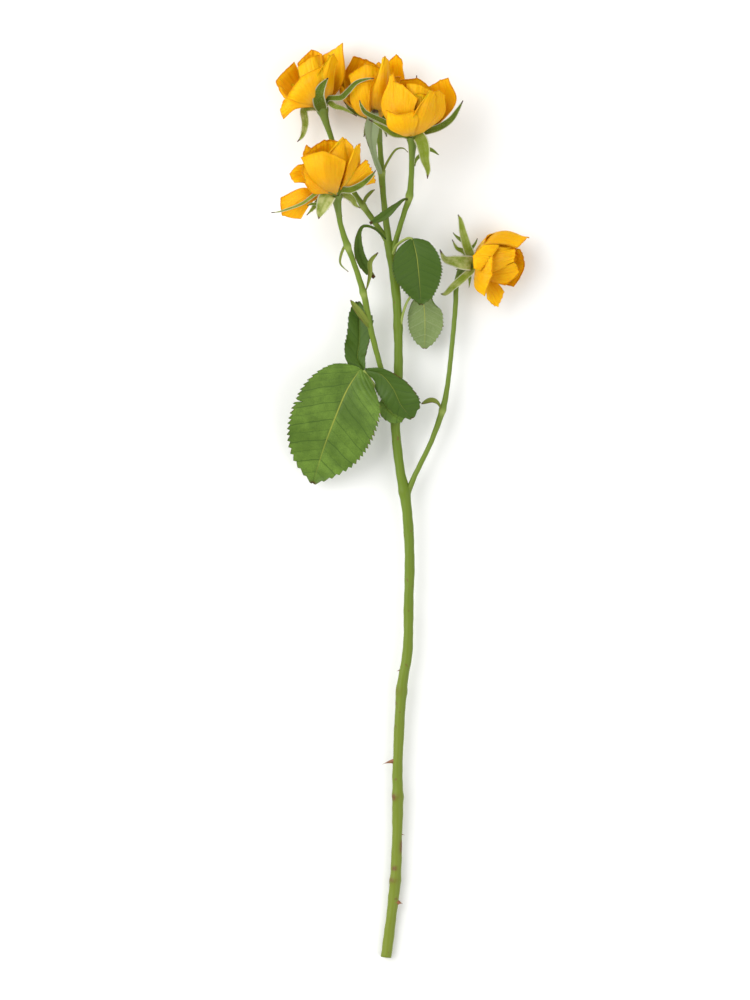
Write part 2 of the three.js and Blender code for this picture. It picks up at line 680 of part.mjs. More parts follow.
// A closed blade: a plane's grid laid on the surface's points, thickened to both sides and split alike on
// both.
function bladeSolid(surface, us, vs, thick) {
  const cols = us.length;
  const rows = vs.length;
  const sheet = new THREE.PlaneGeometry(2, 2, cols - 1, rows - 1);
  const grid = sheet.attributes.position;
  for (let i = 0; i < grid.count; i++) {
    grid.setXYZ(i, ...surface(us[i % cols], vs[rows - 1 - floor(i / cols)]));
  }
  sheet.computeVertexNormals();

  const { array: points } = grid;
  const { array: normals } = sheet.attributes.normal;
  const layer = (side) => Array.from(points, (x, i) => x + (side * normals[i] * thick) / 2);
  const front = Array.from(sheet.index.array);
  const back = front.map((_, i) => front[i - (i % 3) + 2 - (i % 3)] + grid.count);
  const bottom = even(cols - 1).map((_, i) => (rows - 1) * cols + i);
  const right = even(rows - 1).map((_, i) => (rows - i) * cols - 1);
  const top = even(cols - 1).map((_, i) => cols - 1 - i);
  const left = even(rows - 1).map((_, i) => i * cols);
  const border = [bottom, right, top, left].flatMap((side) => side.slice(0, -1));
  const rim = border.flatMap((a, i) => {
    const b = border[(i + 1) % border.length];
    return [b, a, a + grid.count, b, a + grid.count, b + grid.count];
  });
  const blade = new THREE.BufferGeometry();
  blade.setAttribute("position", new THREE.Float32BufferAttribute([...layer(1), ...layer(-1)], 3));
  blade.setIndex([...front, ...back, ...rim]);
  return solidOf(blade);
}

// A round stalk along a route of x, y, z and radius: a cylinder bent to the curve through the points.
function stalkSolid(route, sides, stepsEach, grow = 0) {
  const spans = route.length - 1;
  const curve = new THREE.CatmullRomCurve3(route.map(vector), false, "catmullrom", 0.5);
  const tube = new THREE.CylinderGeometry(1, 1, 1, sides, spans * stepsEach);
  const points = tube.attributes.position;
  for (let i = 0; i < points.count; i++) {
    const t = points.getY(i) + 0.5;
    const k = min(floor(t * spans), spans - 1);
    const radius = THREE.MathUtils.lerp(route[k][3], route[k + 1][3], t * spans - k) + grow;
    const along = curve.getTangent(t);
    const up = new THREE.Vector3(0, 0, 1).addScaledVector(along, -along.z).normalize();
    const side = new THREE.Vector3().crossVectors(along, up);
    const end = t < 0.001 ? -1 : t > 0.999 ? 1 : 0;
    const at = curve.getPoint(t).addScaledVector(along, grow * end);
    at.addScaledVector(side, radius * points.getX(i)).addScaledVector(up, radius * points.getZ(i));
    points.setXYZ(i, ...at);
  }
  return solidOf(tube);
}

// A turned shape about the axis of a bloom, from its heights and radii.
function turnedSolid(profile, sides) {
  const lathe = new THREE.LatheGeometry(profile.map(([height, r]) => new THREE.Vector2(r, height)), sides);
  return solidOf(lathe.rotateX(PI / 2));
}

// The frame of a bloom: its own z is the axis, and its x faces up from the surface.
function bloomFrame(route, axis) {
  const ahead = vector(axis).normalize();
  const up = new THREE.Vector3(0, 0, 1).addScaledVector(ahead, -ahead.z).normalize();
  const frame = new THREE.Matrix4().makeBasis(up, new THREE.Vector3().crossVectors(ahead, up), ahead);
  return frame.setPosition(...route.at(-1).slice(0, 3));
}

// The angle from the axis at t along a petal, through its three given angles, with the lip's curl added.
function leanAt({ lean: [foot, middle, lip], curl = 0 }, t) {
  const bend = foot - 2 * middle + lip;
  const curled = curl * THREE.MathUtils.smoothstep(t, 0.7, 1);
  return rad(foot + (4 * middle - 3 * foot - lip) * t + 2 * bend * t * t + curled);
}

// Follows a petal's middle line out to s: how far from the axis it gets, how high, and at what
// angle.
function middleLine(petal, s) {
  const steps = 12;
  let out = petal.foot;
  let height = petal.base;
  for (let i = 0; i < steps; i++) {
    const angle = leanAt(petal, ((i + 0.5) * s) / steps / petal.length);
    out += (sin(angle) * s) / steps;
    height += (cos(angle) * s) / steps;
  }
  return { out, height, angle: leanAt(petal, s / petal.length) };
}

// A point of a petal in its bloom's frame. u runs from margin to margin and v from foot to lip.
// Across, it wraps round the cup's radius, one margin lies further in than the other by the tuck, and
// each rolls back.
function petalPoint(petal, u, v) {
  const { drop = 0, peak = 0, cup, tuck = 0, roll = [0, 0], turn, length } = petal;
  const s = v * length * (1 - drop * abs(u) ** 2.2 + peak * exp(-((u / 0.17) ** 2)));
  const { out, height, angle } = middleLine(petal, s);
  const span = abs(u) * petal.width(v);
  const side = u < 0 ? -1 : 1;
  const steps = 8;
  let sideways = 0;
  let inward = 0;
  for (let i = 0; i < steps; i++) {
    const part = (i + 0.5) / steps;
    const wrap = (part * span) / (cup * (0.5 + 0.5 * v));
    const rolled = rad(roll[u < 0 ? 0 : 1]) * v ** 1.5 * max(0, (part * abs(u) - 0.45) / 0.55) ** 1.5;
    const heading = wrap + side * rad(tuck) - rolled;
    sideways += (cos(heading) * span) / steps;
    inward += (sin(heading) * span) / steps;
  }
  const point = new THREE.Vector3(out - inward * cos(angle), side * sideways, height + inward * sin(angle));
  return point.applyAxisAngle(new THREE.Vector3(0, 0, 1), rad(turn));
}

// A petal is narrow at its foot, widest past the middle and a little narrower at the lip.
function petalWidth(half, widest = 0.62) {
  const swell = (v) => 0.2 + 0.8 * sin((PI / 2) * min(1, v / widest)) ** 0.9;
  return (v) => half * swell(v) * (1 - 0.35 * max(0, (v - widest) / (1 - widest)) ** 2);
}

// A blade swells from its foot to where it is widest and runs out to a point.
function bladeWidth({ half, widest, point = 0.75 }) {
  const swell = (point * widest) / (1 - widest);
  const shape = (v) => v ** swell * (1 - v) ** point;
  return (v) => max(0.3, (half * shape(v)) / shape(widest));
}

// A blade's width to one side, from the widths at each tenth of its path. It is rounded at the foot.
function outline(widths) {
  return (v) => {
    const k = min(floor(v * 10 + 1e-6), 9);
    if (k < 1) return max(0.3, widths[0] * sqrt(v * 10));
    return THREE.MathUtils.lerp(widths[k - 1], widths[k], v * 10 - k);
  };
}

// Lifts a point that is given above the plane through a bloom's axis.
function raised(point, axis) {
  const at = vector(point);
  return at.setZ(at.z + ((at.x * axis[0] + at.y * axis[1]) * axis[2]) / (axis[0] ** 2 + axis[1] ** 2));
}

// A point of a petal laid out by its three routes, which start side by side at its foot. Past each
// margin, u runs on round the margin's roll.
function laidPetal({ left, middle, right, turn, roll = [0, 0] }, axis) {
  const ahead = vector(axis);
  const basis = bloomFrame([[0, 0, 0]], axis);
  const heading = new THREE.Vector3(-sin(rad(turn)), cos(rad(turn)), 0).applyMatrix4(basis);
  const span = raised(right[0], axis).sub(raised(left[0], axis));
  const spread = FOOT_SPREAD * Math.sign(span.dot(heading));
  const routes = [left, middle, right].map((points, i) => {
    const foot = new THREE.Vector3(FOOT_RADIUS, 0, GAP * 2);
    foot.applyAxisAngle(new THREE.Vector3(0, 0, 1), rad(turn + spread * (i - 1))).applyMatrix4(basis);
    const route = [foot, ...points.map((point) => raised(point, axis))];
    return new THREE.CatmullRomCurve3(route, false, "catmullrom", 0.5);
  });
  const mixed = (v, weights) => {
    const at = new THREE.Vector3();
    routes.forEach((route, i) => at.addScaledVector(route.getPoint(v), weights[i]));
    return at;
  };
  const onSheet = (u, v) => mixed(v, [(u * (u - 1)) / 2, 1 - u * u, (u * (u + 1)) / 2]);
  const sideways = (u, v) => mixed(v, [u - 0.5, -2 * u, u + 0.5]);
  const outward = (u, v) => {
    const lengthways = onSheet(u, min(1, v + 0.02)).sub(onSheet(u, max(0, v - 0.02)));
    return sideways(u, v).cross(lengthways).normalize();
  };
  const belly = onSheet(0, 0.6);
  const fromAxis = belly.addScaledVector(ahead, -belly.dot(ahead) / ahead.lengthSq());
  const facing = Math.sign(outward(0, 0.6).dot(fromAxis));
  return (u, v) => {
    const edge = THREE.MathUtils.clamp(u, -1, 1);
    const at = onSheet(edge, v);
    if (abs(u) <= 1) return at;
    const angle = rad(roll[u < 0 ? 0 : 1]) * (abs(u) - 1);
    const radius = ROLL_RADIUS * min(1, 3 * v);
    at.addScaledVector(sideways(edge, v).normalize(), edge * radius * sin(angle));
    return at.addScaledVector(outward(edge, v), facing * radius * (1 - cos(angle)));
  };
}

// The petals and their core, in the bloom's own frame.
function bloomSolid(bloom) {
  const root = { foot: FOOT_RADIUS, base: HIP_HEIGHT + 2 * GAP };
  const behind = bloom.back.map((petal) => ({ ...BACK_PETAL, ...root, ...petal }));
  const heart = HEART.map((petal, i) => ({ ...petal, ...root, turn: bloom.heart + 140 * i }));
  const hidden = [...behind, ...heart].map((petal) => {
    petal.width = petalWidth(petal.half);
    return bladeSolid((u, v) => petalPoint(petal, u, v), across(2), even(3), PETAL_THICK);
  });
  const toFrame = bloomFrame([[0, 0, 0]], bloom.axis).invert();
  const lift = new THREE.Vector3(0, 0, HIP_HEIGHT);
  const shown = bloom.petals.map((petal) => {
    const surface = laidPetal(petal, bloom.axis);
    const [low, high] = petal.roll ?? [0, 0];
    const us = [...(low ? [-2, -1.5] : []), -1, -0.5, 0, 0.5, 1, ...(high ? [1.5, 2] : [])];
    return bladeSolid((u, v) => surface(u, v).applyMatrix4(toFrame).add(lift), us, even(3), PETAL_THICK);
  });
  return joined([turnedSolid(CORE_PROFILE, 6), ...hidden, ...shown]);
}

// The green cup and its sepals, where the bloom stands. Each sepal starts inside the cup's rim.
function calyxSolid({ axis, sepals }, frame, grow = 0) {
  const profile = HIP_PROFILE.map(([h, r]) => [h + (h > 1 ? grow : -grow), r && r + grow]);
  const ahead = vector(axis).normalize();
  const rim = new THREE.Vector3(0, 0, HIP_HEIGHT).applyMatrix4(frame);
  const blades = sepals.map((sepal) => {
    const points = sepal.path.map((point) => raised(point, axis));
    const outward = points[0].clone().addScaledVector(ahead, -points[0].dot(ahead)).setLength(1.4);
    const path = [outward.addScaledVector(ahead, -1), ...points].map((point) => point.add(rim));
    path.push(path.pop().addScaledVector(path.at(-1).clone().sub(path.at(-2)).normalize(), grow));
    return leafBlade({ point: 1, face: [0, 0, 1], fold: 8, ...sepal, path }, grow);
  });
  return joined([turnedSolid(profile, 8).transform(frame.elements), ...blades]);
}

// A blade along its path, folded up at the midrib, waved, and cut into teeth that point forward.
function leafBlade(blade, grow = 0) {
  const { path, left, right, teeth = 0, face, fold, wave = 0 } = blade;
  const curve = new THREE.CatmullRomCurve3(path.map(vector), false, "catmullrom", 0.5);
  const widths = left ? [outline(left), outline(right)] : [bladeWidth(blade), bladeWidth(blade)];
  const surface = (u, v) => {
    const along = curve.getTangent(v);
    const side = new THREE.Vector3().crossVectors(along, vector(face)).normalize();
    const over = new THREE.Vector3().crossVectors(side, along);
    const notched = teeth && v > 0 && v < 1 && abs(v * teeth - Math.round(v * teeth)) < 0.01;
    const reach = u * (widths[u < 0 ? 0 : 1](v) + 2 * grow) * (notched ? 1 - TOOTH_DEPTH * abs(u) : 1);
    const lift = abs(reach) * sin(rad(fold)) + wave * abs(u) * sin(11 * v + 2.2 * u);
    return curve.getPoint(v).addScaledVector(side, reach * cos(rad(fold))).addScaledVector(over, lift);
  };
  const rows = teeth ? even(teeth).flatMap((v) => (v < 1 ? [v, v + 0.7 / teeth] : [v])) : even(4);
  return bladeSolid(surface, across(2), rows, GREEN_THICK + 4 * grow);
}

function leafSolid({ stalk, blades }) {
  const solids = blades.map((blade) => leafBlade(blade));
  return joined(stalk ? [stalkSolid(stalk, 6, 2), ...solids] : solids);
}

// A prickle: a flattened cone with its root in the stem, pointing across it and a little down.
function prickleSolid({ y, turn, length, root }) {
  const k = MAIN_STEM.findIndex((point) => point[1] > y);
  const [low, high] = [MAIN_STEM[k - 1], MAIN_STEM[k]];
  const mix = (y - low[1]) / (high[1] - low[1]);
  const at = vector(low).lerp(vector(high), mix);
  const radius = THREE.MathUtils.lerp(low[3], high[3], mix);
  const cone = new THREE.ConeGeometry(root, length + radius, 6).scale(1.5, 1, 0.6);
  cone.translate(0, (length + radius) / 2, 0).rotateZ(rad(-102)).rotateY(-rad(turn)).translate(...at);
  return solidOf(cone);
}

// Building
const stemOf = (grow = 0) =>
  joined([
    stalkSolid(MAIN_STEM, STEM_SIDES, 1, grow),
    ...STALKS.map((route) => stalkSolid(route, STALK_SIDES, 1, grow)),
    ...PRICKLES.map(prickleSolid),
  ]);

const rose = new THREE.Group();

function material(color, roughness) {
  return new THREE.MeshStandardMaterial({ color, roughness, metalness: 0 });
}

// Cuts a solid off at the surface that the part lies on, keeps its main body and places it in its group.
function place(name, solid, look, parent = rose) {
  const mesh = mainBody(solid.trimByPlane([0, 0, 1], 0)).getMesh();
  const geometry = new THREE.BufferGeometry();
  geometry.setAttribute("position", new THREE.BufferAttribute(mesh.vertProperties, 3));
  geometry.setIndex(new THREE.BufferAttribute(mesh.triVerts, 1));
  geometry.applyMatrix4(parent.matrix.clone().invert()).computeVertexNormals();
  const placed = new THREE.Mesh(geometry, look);
  placed.name = name;
  parent.add(placed);
}

const stem = stemOf();
const stemCutter = stemOf(GAP);
place("stem", stem, material(STEM_GREEN, 0.5));

BLOOMS.forEach((bloom, i) => {
  const frame = bloomFrame(STALKS[i], bloom.axis);
  const flower = new THREE.Group();
  flower.applyMatrix4(frame);
  flower.updateMatrix();
  rose.add(flower);
  const calyx = calyxSolid(bloom, frame).subtract(stemCutter);
  const calyxCutter = calyxSolid(bloom, frame, GAP);
  const petals = bloomSolid(bloom).transform(frame.elements).subtract(calyxCutter).subtract(stemCutter);
  place(`calyx_${i + 1}`, calyx, material(SEPAL_GREEN, 0.6), flower);
  place(`bloom_${i + 1}`, petals, material(PETAL_YELLOW, 0.55), flower);
});

for (const [name, leaf] of Object.entries(LEAVES)) {
  place(name, leafSolid(leaf).subtract(stemCutter), material(LEAF_GREEN, 0.5));
}

export default rose;
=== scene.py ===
"""A cut stem of yellow spray rose, lying on a pale floor in soft light.

Lengths in the tables are millimetres. +Y runs up the stem, +X to its right and +Z up from the floor."""

import math
import random

import bmesh
import bpy
import numpy as np
from mathutils import Color, Matrix, Vector


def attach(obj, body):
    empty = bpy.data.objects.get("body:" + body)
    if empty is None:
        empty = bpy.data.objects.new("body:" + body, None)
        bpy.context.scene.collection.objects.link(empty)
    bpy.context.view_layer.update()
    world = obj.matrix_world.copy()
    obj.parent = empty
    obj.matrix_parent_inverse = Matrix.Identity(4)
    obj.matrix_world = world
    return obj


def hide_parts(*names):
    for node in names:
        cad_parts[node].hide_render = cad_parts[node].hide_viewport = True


bl_info = {
    "name": "Cut Spray Rose",
    "version": (1, 0, 0),
    "blender": (4, 5, 0),
    "location": "3D View > Sidebar > Rose",
    "description": "Builds a cut stem of spray rose with petals, leaves and light for a picture",
    "category": "Add Mesh",
}

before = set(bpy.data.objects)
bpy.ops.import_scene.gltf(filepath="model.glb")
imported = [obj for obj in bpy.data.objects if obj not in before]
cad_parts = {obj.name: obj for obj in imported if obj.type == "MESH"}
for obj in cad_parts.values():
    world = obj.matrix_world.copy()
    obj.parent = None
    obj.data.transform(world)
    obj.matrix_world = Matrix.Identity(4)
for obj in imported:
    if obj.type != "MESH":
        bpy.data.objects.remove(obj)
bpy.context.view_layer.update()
MM = 0.001

# Shared sizes, in millimetres
GAP = 0.3  # left between neighbouring pieces
HIP_HEIGHT = 6.5  # the green cup under the petals
HIP_RADIUS = 3.2
FOOT_RADIUS = 1.8  # how far from the axis a petal is rooted
FOOT_HEIGHT = 2 * GAP  # and how far above the green cup
ROLL_RADIUS = 1.2  # of the rolled margins
SEPAL_ROOT = 1.4  # how far from the axis a sepal is rooted, 1 mm below the rim of the green cup
BROAD_TIP = 0.3  # half width of the tip of a broad blade
NARROW_TIP = 0.2  # and of a narrow one
HAIR_LENGTH = (0.5, 1.1)
HAIR_RADIUS = 0.06
LEAST_RADIUS = 0.06  # of a prickle's tip
RING_WIDTH = 2.0  # how far the rings of the main stem run up and down it
SCAR_WIDTH = 1.3  # and their scars
KNUCKLE_WIDTH = 1.6  # and the knuckles of the stalks

# Counts, shares and angles
HAIR_COUNT = 110  # on the margins of each sepal
BROAD_COLUMNS = 44  # faces across a leaf
NARROW_COLUMNS = 12  # and across a bract or a sepal
TOOTH_ROWS = 7  # rows of faces along each tooth of a leaf
SEPAL_ROWS = 44
LOBE_COLUMNS, LOBE_ROWS = 4, 10
TOOTH_TIP = 0.72  # where the tip of a tooth is, as a share of the tooth
VEIN_RISE = 0.28  # how far forward a side vein runs to the margin, as a share of the blade
CUT_RIM = 0.18  # how much of the radius the bark takes up on the cut end
PETAL_WIDEST = 0.62  # where a hidden petal is widest, as a share of its length
BELLY = 0.6  # where a petal's bow is looked at to tell its outside, as a share of its length
FOOT_SPREAD = 40  # degrees round the axis from the middle of a petal's foot to its margins
NEXT_TURN = 137  # degrees from one petal of the heart to the next
STEP = 0.01  # share of a sheet over which its slope is taken

# The main stem and the five flower stalks: x, y, z and radius along each.
MAIN_STEM = [
    [-7.0, -228.5, 2.4, 2.75],
    [-5.2, -215, 2.9, 2.6],
    [-3.4, -200, 3.5, 2.65],
    [-2.2, -188, 3.9, 2.75],
    [-1.5, -170, 4.5, 2.55],
    [-1.1, -149, 5.2, 2.75],
    [-1.2, -133, 5.7, 2.5],
    [0.7, -96, 6.9, 2.65],
    [3.8, -75, 7.6, 2.5],
    [4.3, -52, 8.3, 2.45],
    [4.8, -30, 9.0, 2.5],
    [3.9, -10, 9.6, 2.55],
    [2.2, 4, 10.0, 2.7],
    [0.2, 14, 10.3, 2.4],
    [-1.8, 30, 10.8, 2.3],
    [-2.3, 42, 11.2, 2.5],
    [-0.9, 62, 11.8, 2.25],
    [-1.0, 85, 12.6, 2.2],
    [-1.9, 102, 13.1, 2.25],
    [-4.0, 119, 13.6, 2.3],
    [-5.6, 129, 14.0, 2.5],
]

STALKS = [
    [
        [-5.6, 128, 13.8, 1.7],
        [-10.5, 135.5, 13.2, 1.35],
        [-16.5, 144, 11.6, 1.5],
        [-23.5, 154.5, 9.6, 1.3],
        [-28.5, 165, 10.2, 1.25],
        [-33.0, 177, 12.8, 1.25],
        [-37.2, 189, 15.4, 1.6],
    ],
    [
        [-5.6, 128, 13.8, 1.9],
        [-7.2, 141, 13.2, 1.6],
        [-8.4, 152.5, 12.0, 1.5],
        [-9.2, 163, 10.4, 1.75],
        [-9.8, 174, 9.4, 1.35],
        [-10.6, 183.5, 11.0, 1.6],
    ],
    [
        [-4.2, 121, 13.6, 1.6],
        [-1.6, 131, 16.4, 1.4],
        [2.0, 143, 20.4, 1.35],
        [4.6, 151, 23.2, 1.7],
        [5.6, 162, 27.4, 1.4],
        [6.0, 174, 33.0, 1.6],
    ],
    [
        [-2.4, 40, 10.9, 1.9],
        [-5.4, 52, 13.4, 1.45],
        [-9.5, 65.5, 16.4, 1.35],
        [-14.6, 85, 19.8, 1.5],
        [-18.0, 102, 22.2, 1.6],
        [-22.5, 116.5, 24.2, 1.35],
        [-26.8, 128, 26.0, 1.6],
        [-29.6, 137, 27.4, 1.35],
        [-31.0, 145.5, 28.6, 1.6],
    ],
    [
        [2.4, 0, 9.8, 1.9],
        [6.6, 10.5, 10.0, 1.4],
        [11.2, 20, 10.2, 1.3],
        [15.9, 30, 10.4, 1.3],
        [21.2, 45, 10.6, 1.6],
        [23.8, 58, 10.7, 1.25],
        [26.0, 78, 11.0, 1.2],
        [27.6, 96, 11.2, 1.25],
        [28.2, 108, 11.2, 1.35],
        [30.6, 116, 11.0, 1.6],
    ],
]

# Prickles: where along the main stem, which way each points round it (degrees from +X towards +Z), how
# far it stands out and the radius of its root.
PRICKLES = [
    dict(y=-130.5, turn=178, length=5.2, root=1.3),
    dict(y=-201, turn=8, length=2.2, root=1.9),
    dict(y=-85, turn=168, length=1.6, root=0.7),
    dict(y=-167, turn=12, length=1.2, root=0.5),
    dict(y=-60, turn=250, length=3.0, root=1.1),
    dict(y=-160, turn=285, length=3.2, root=1.2),
]

# The heart of each bloom: petals wrapped one inside the next.
HEART = [
    dict(cup=3.0, lean=[18, 0, -14], length=20, half=6.5, tuck=8, drop=0.25),
    dict(cup=4.4, lean=[30, 1, -14], length=21, half=8.5, tuck=8, drop=0.25),
    dict(cup=5.8, lean=[42, 2, -12], length=22, half=10, tuck=8, drop=0.25),
]

# A petal at the back of a bloom. lean is the angle from the bloom's axis at the foot, half way and at the
# lip, curl adds to it near the lip, cup is the radius that the petal wraps round, and half its half
# width. tuck turns the margins in, roll turns each back, drop is how much shorter they are than the
# middle, and peak how far the tip stands out, as shares of the length. Angles are in degrees.
BACK_PETAL = dict(
    lean=[90, 24, 2], curl=20, length=29, half=12.5, cup=12,
    tuck=7, roll=[30, 30], drop=0.3, peak=0.05,
)

# The green cup grows out of its stalk: depths below the seat, then heights above it and radii.
HIP_FOOT = 5
HIP_NECK = 2
NECK_RADIUS = 1.62
HIP_PROFILE = [
    [2.6, 2.2],
    [4.8, 3.0],
    [HIP_HEIGHT, HIP_RADIUS],
]
STALK_END = 12  # about the length of a stalk's last stretch

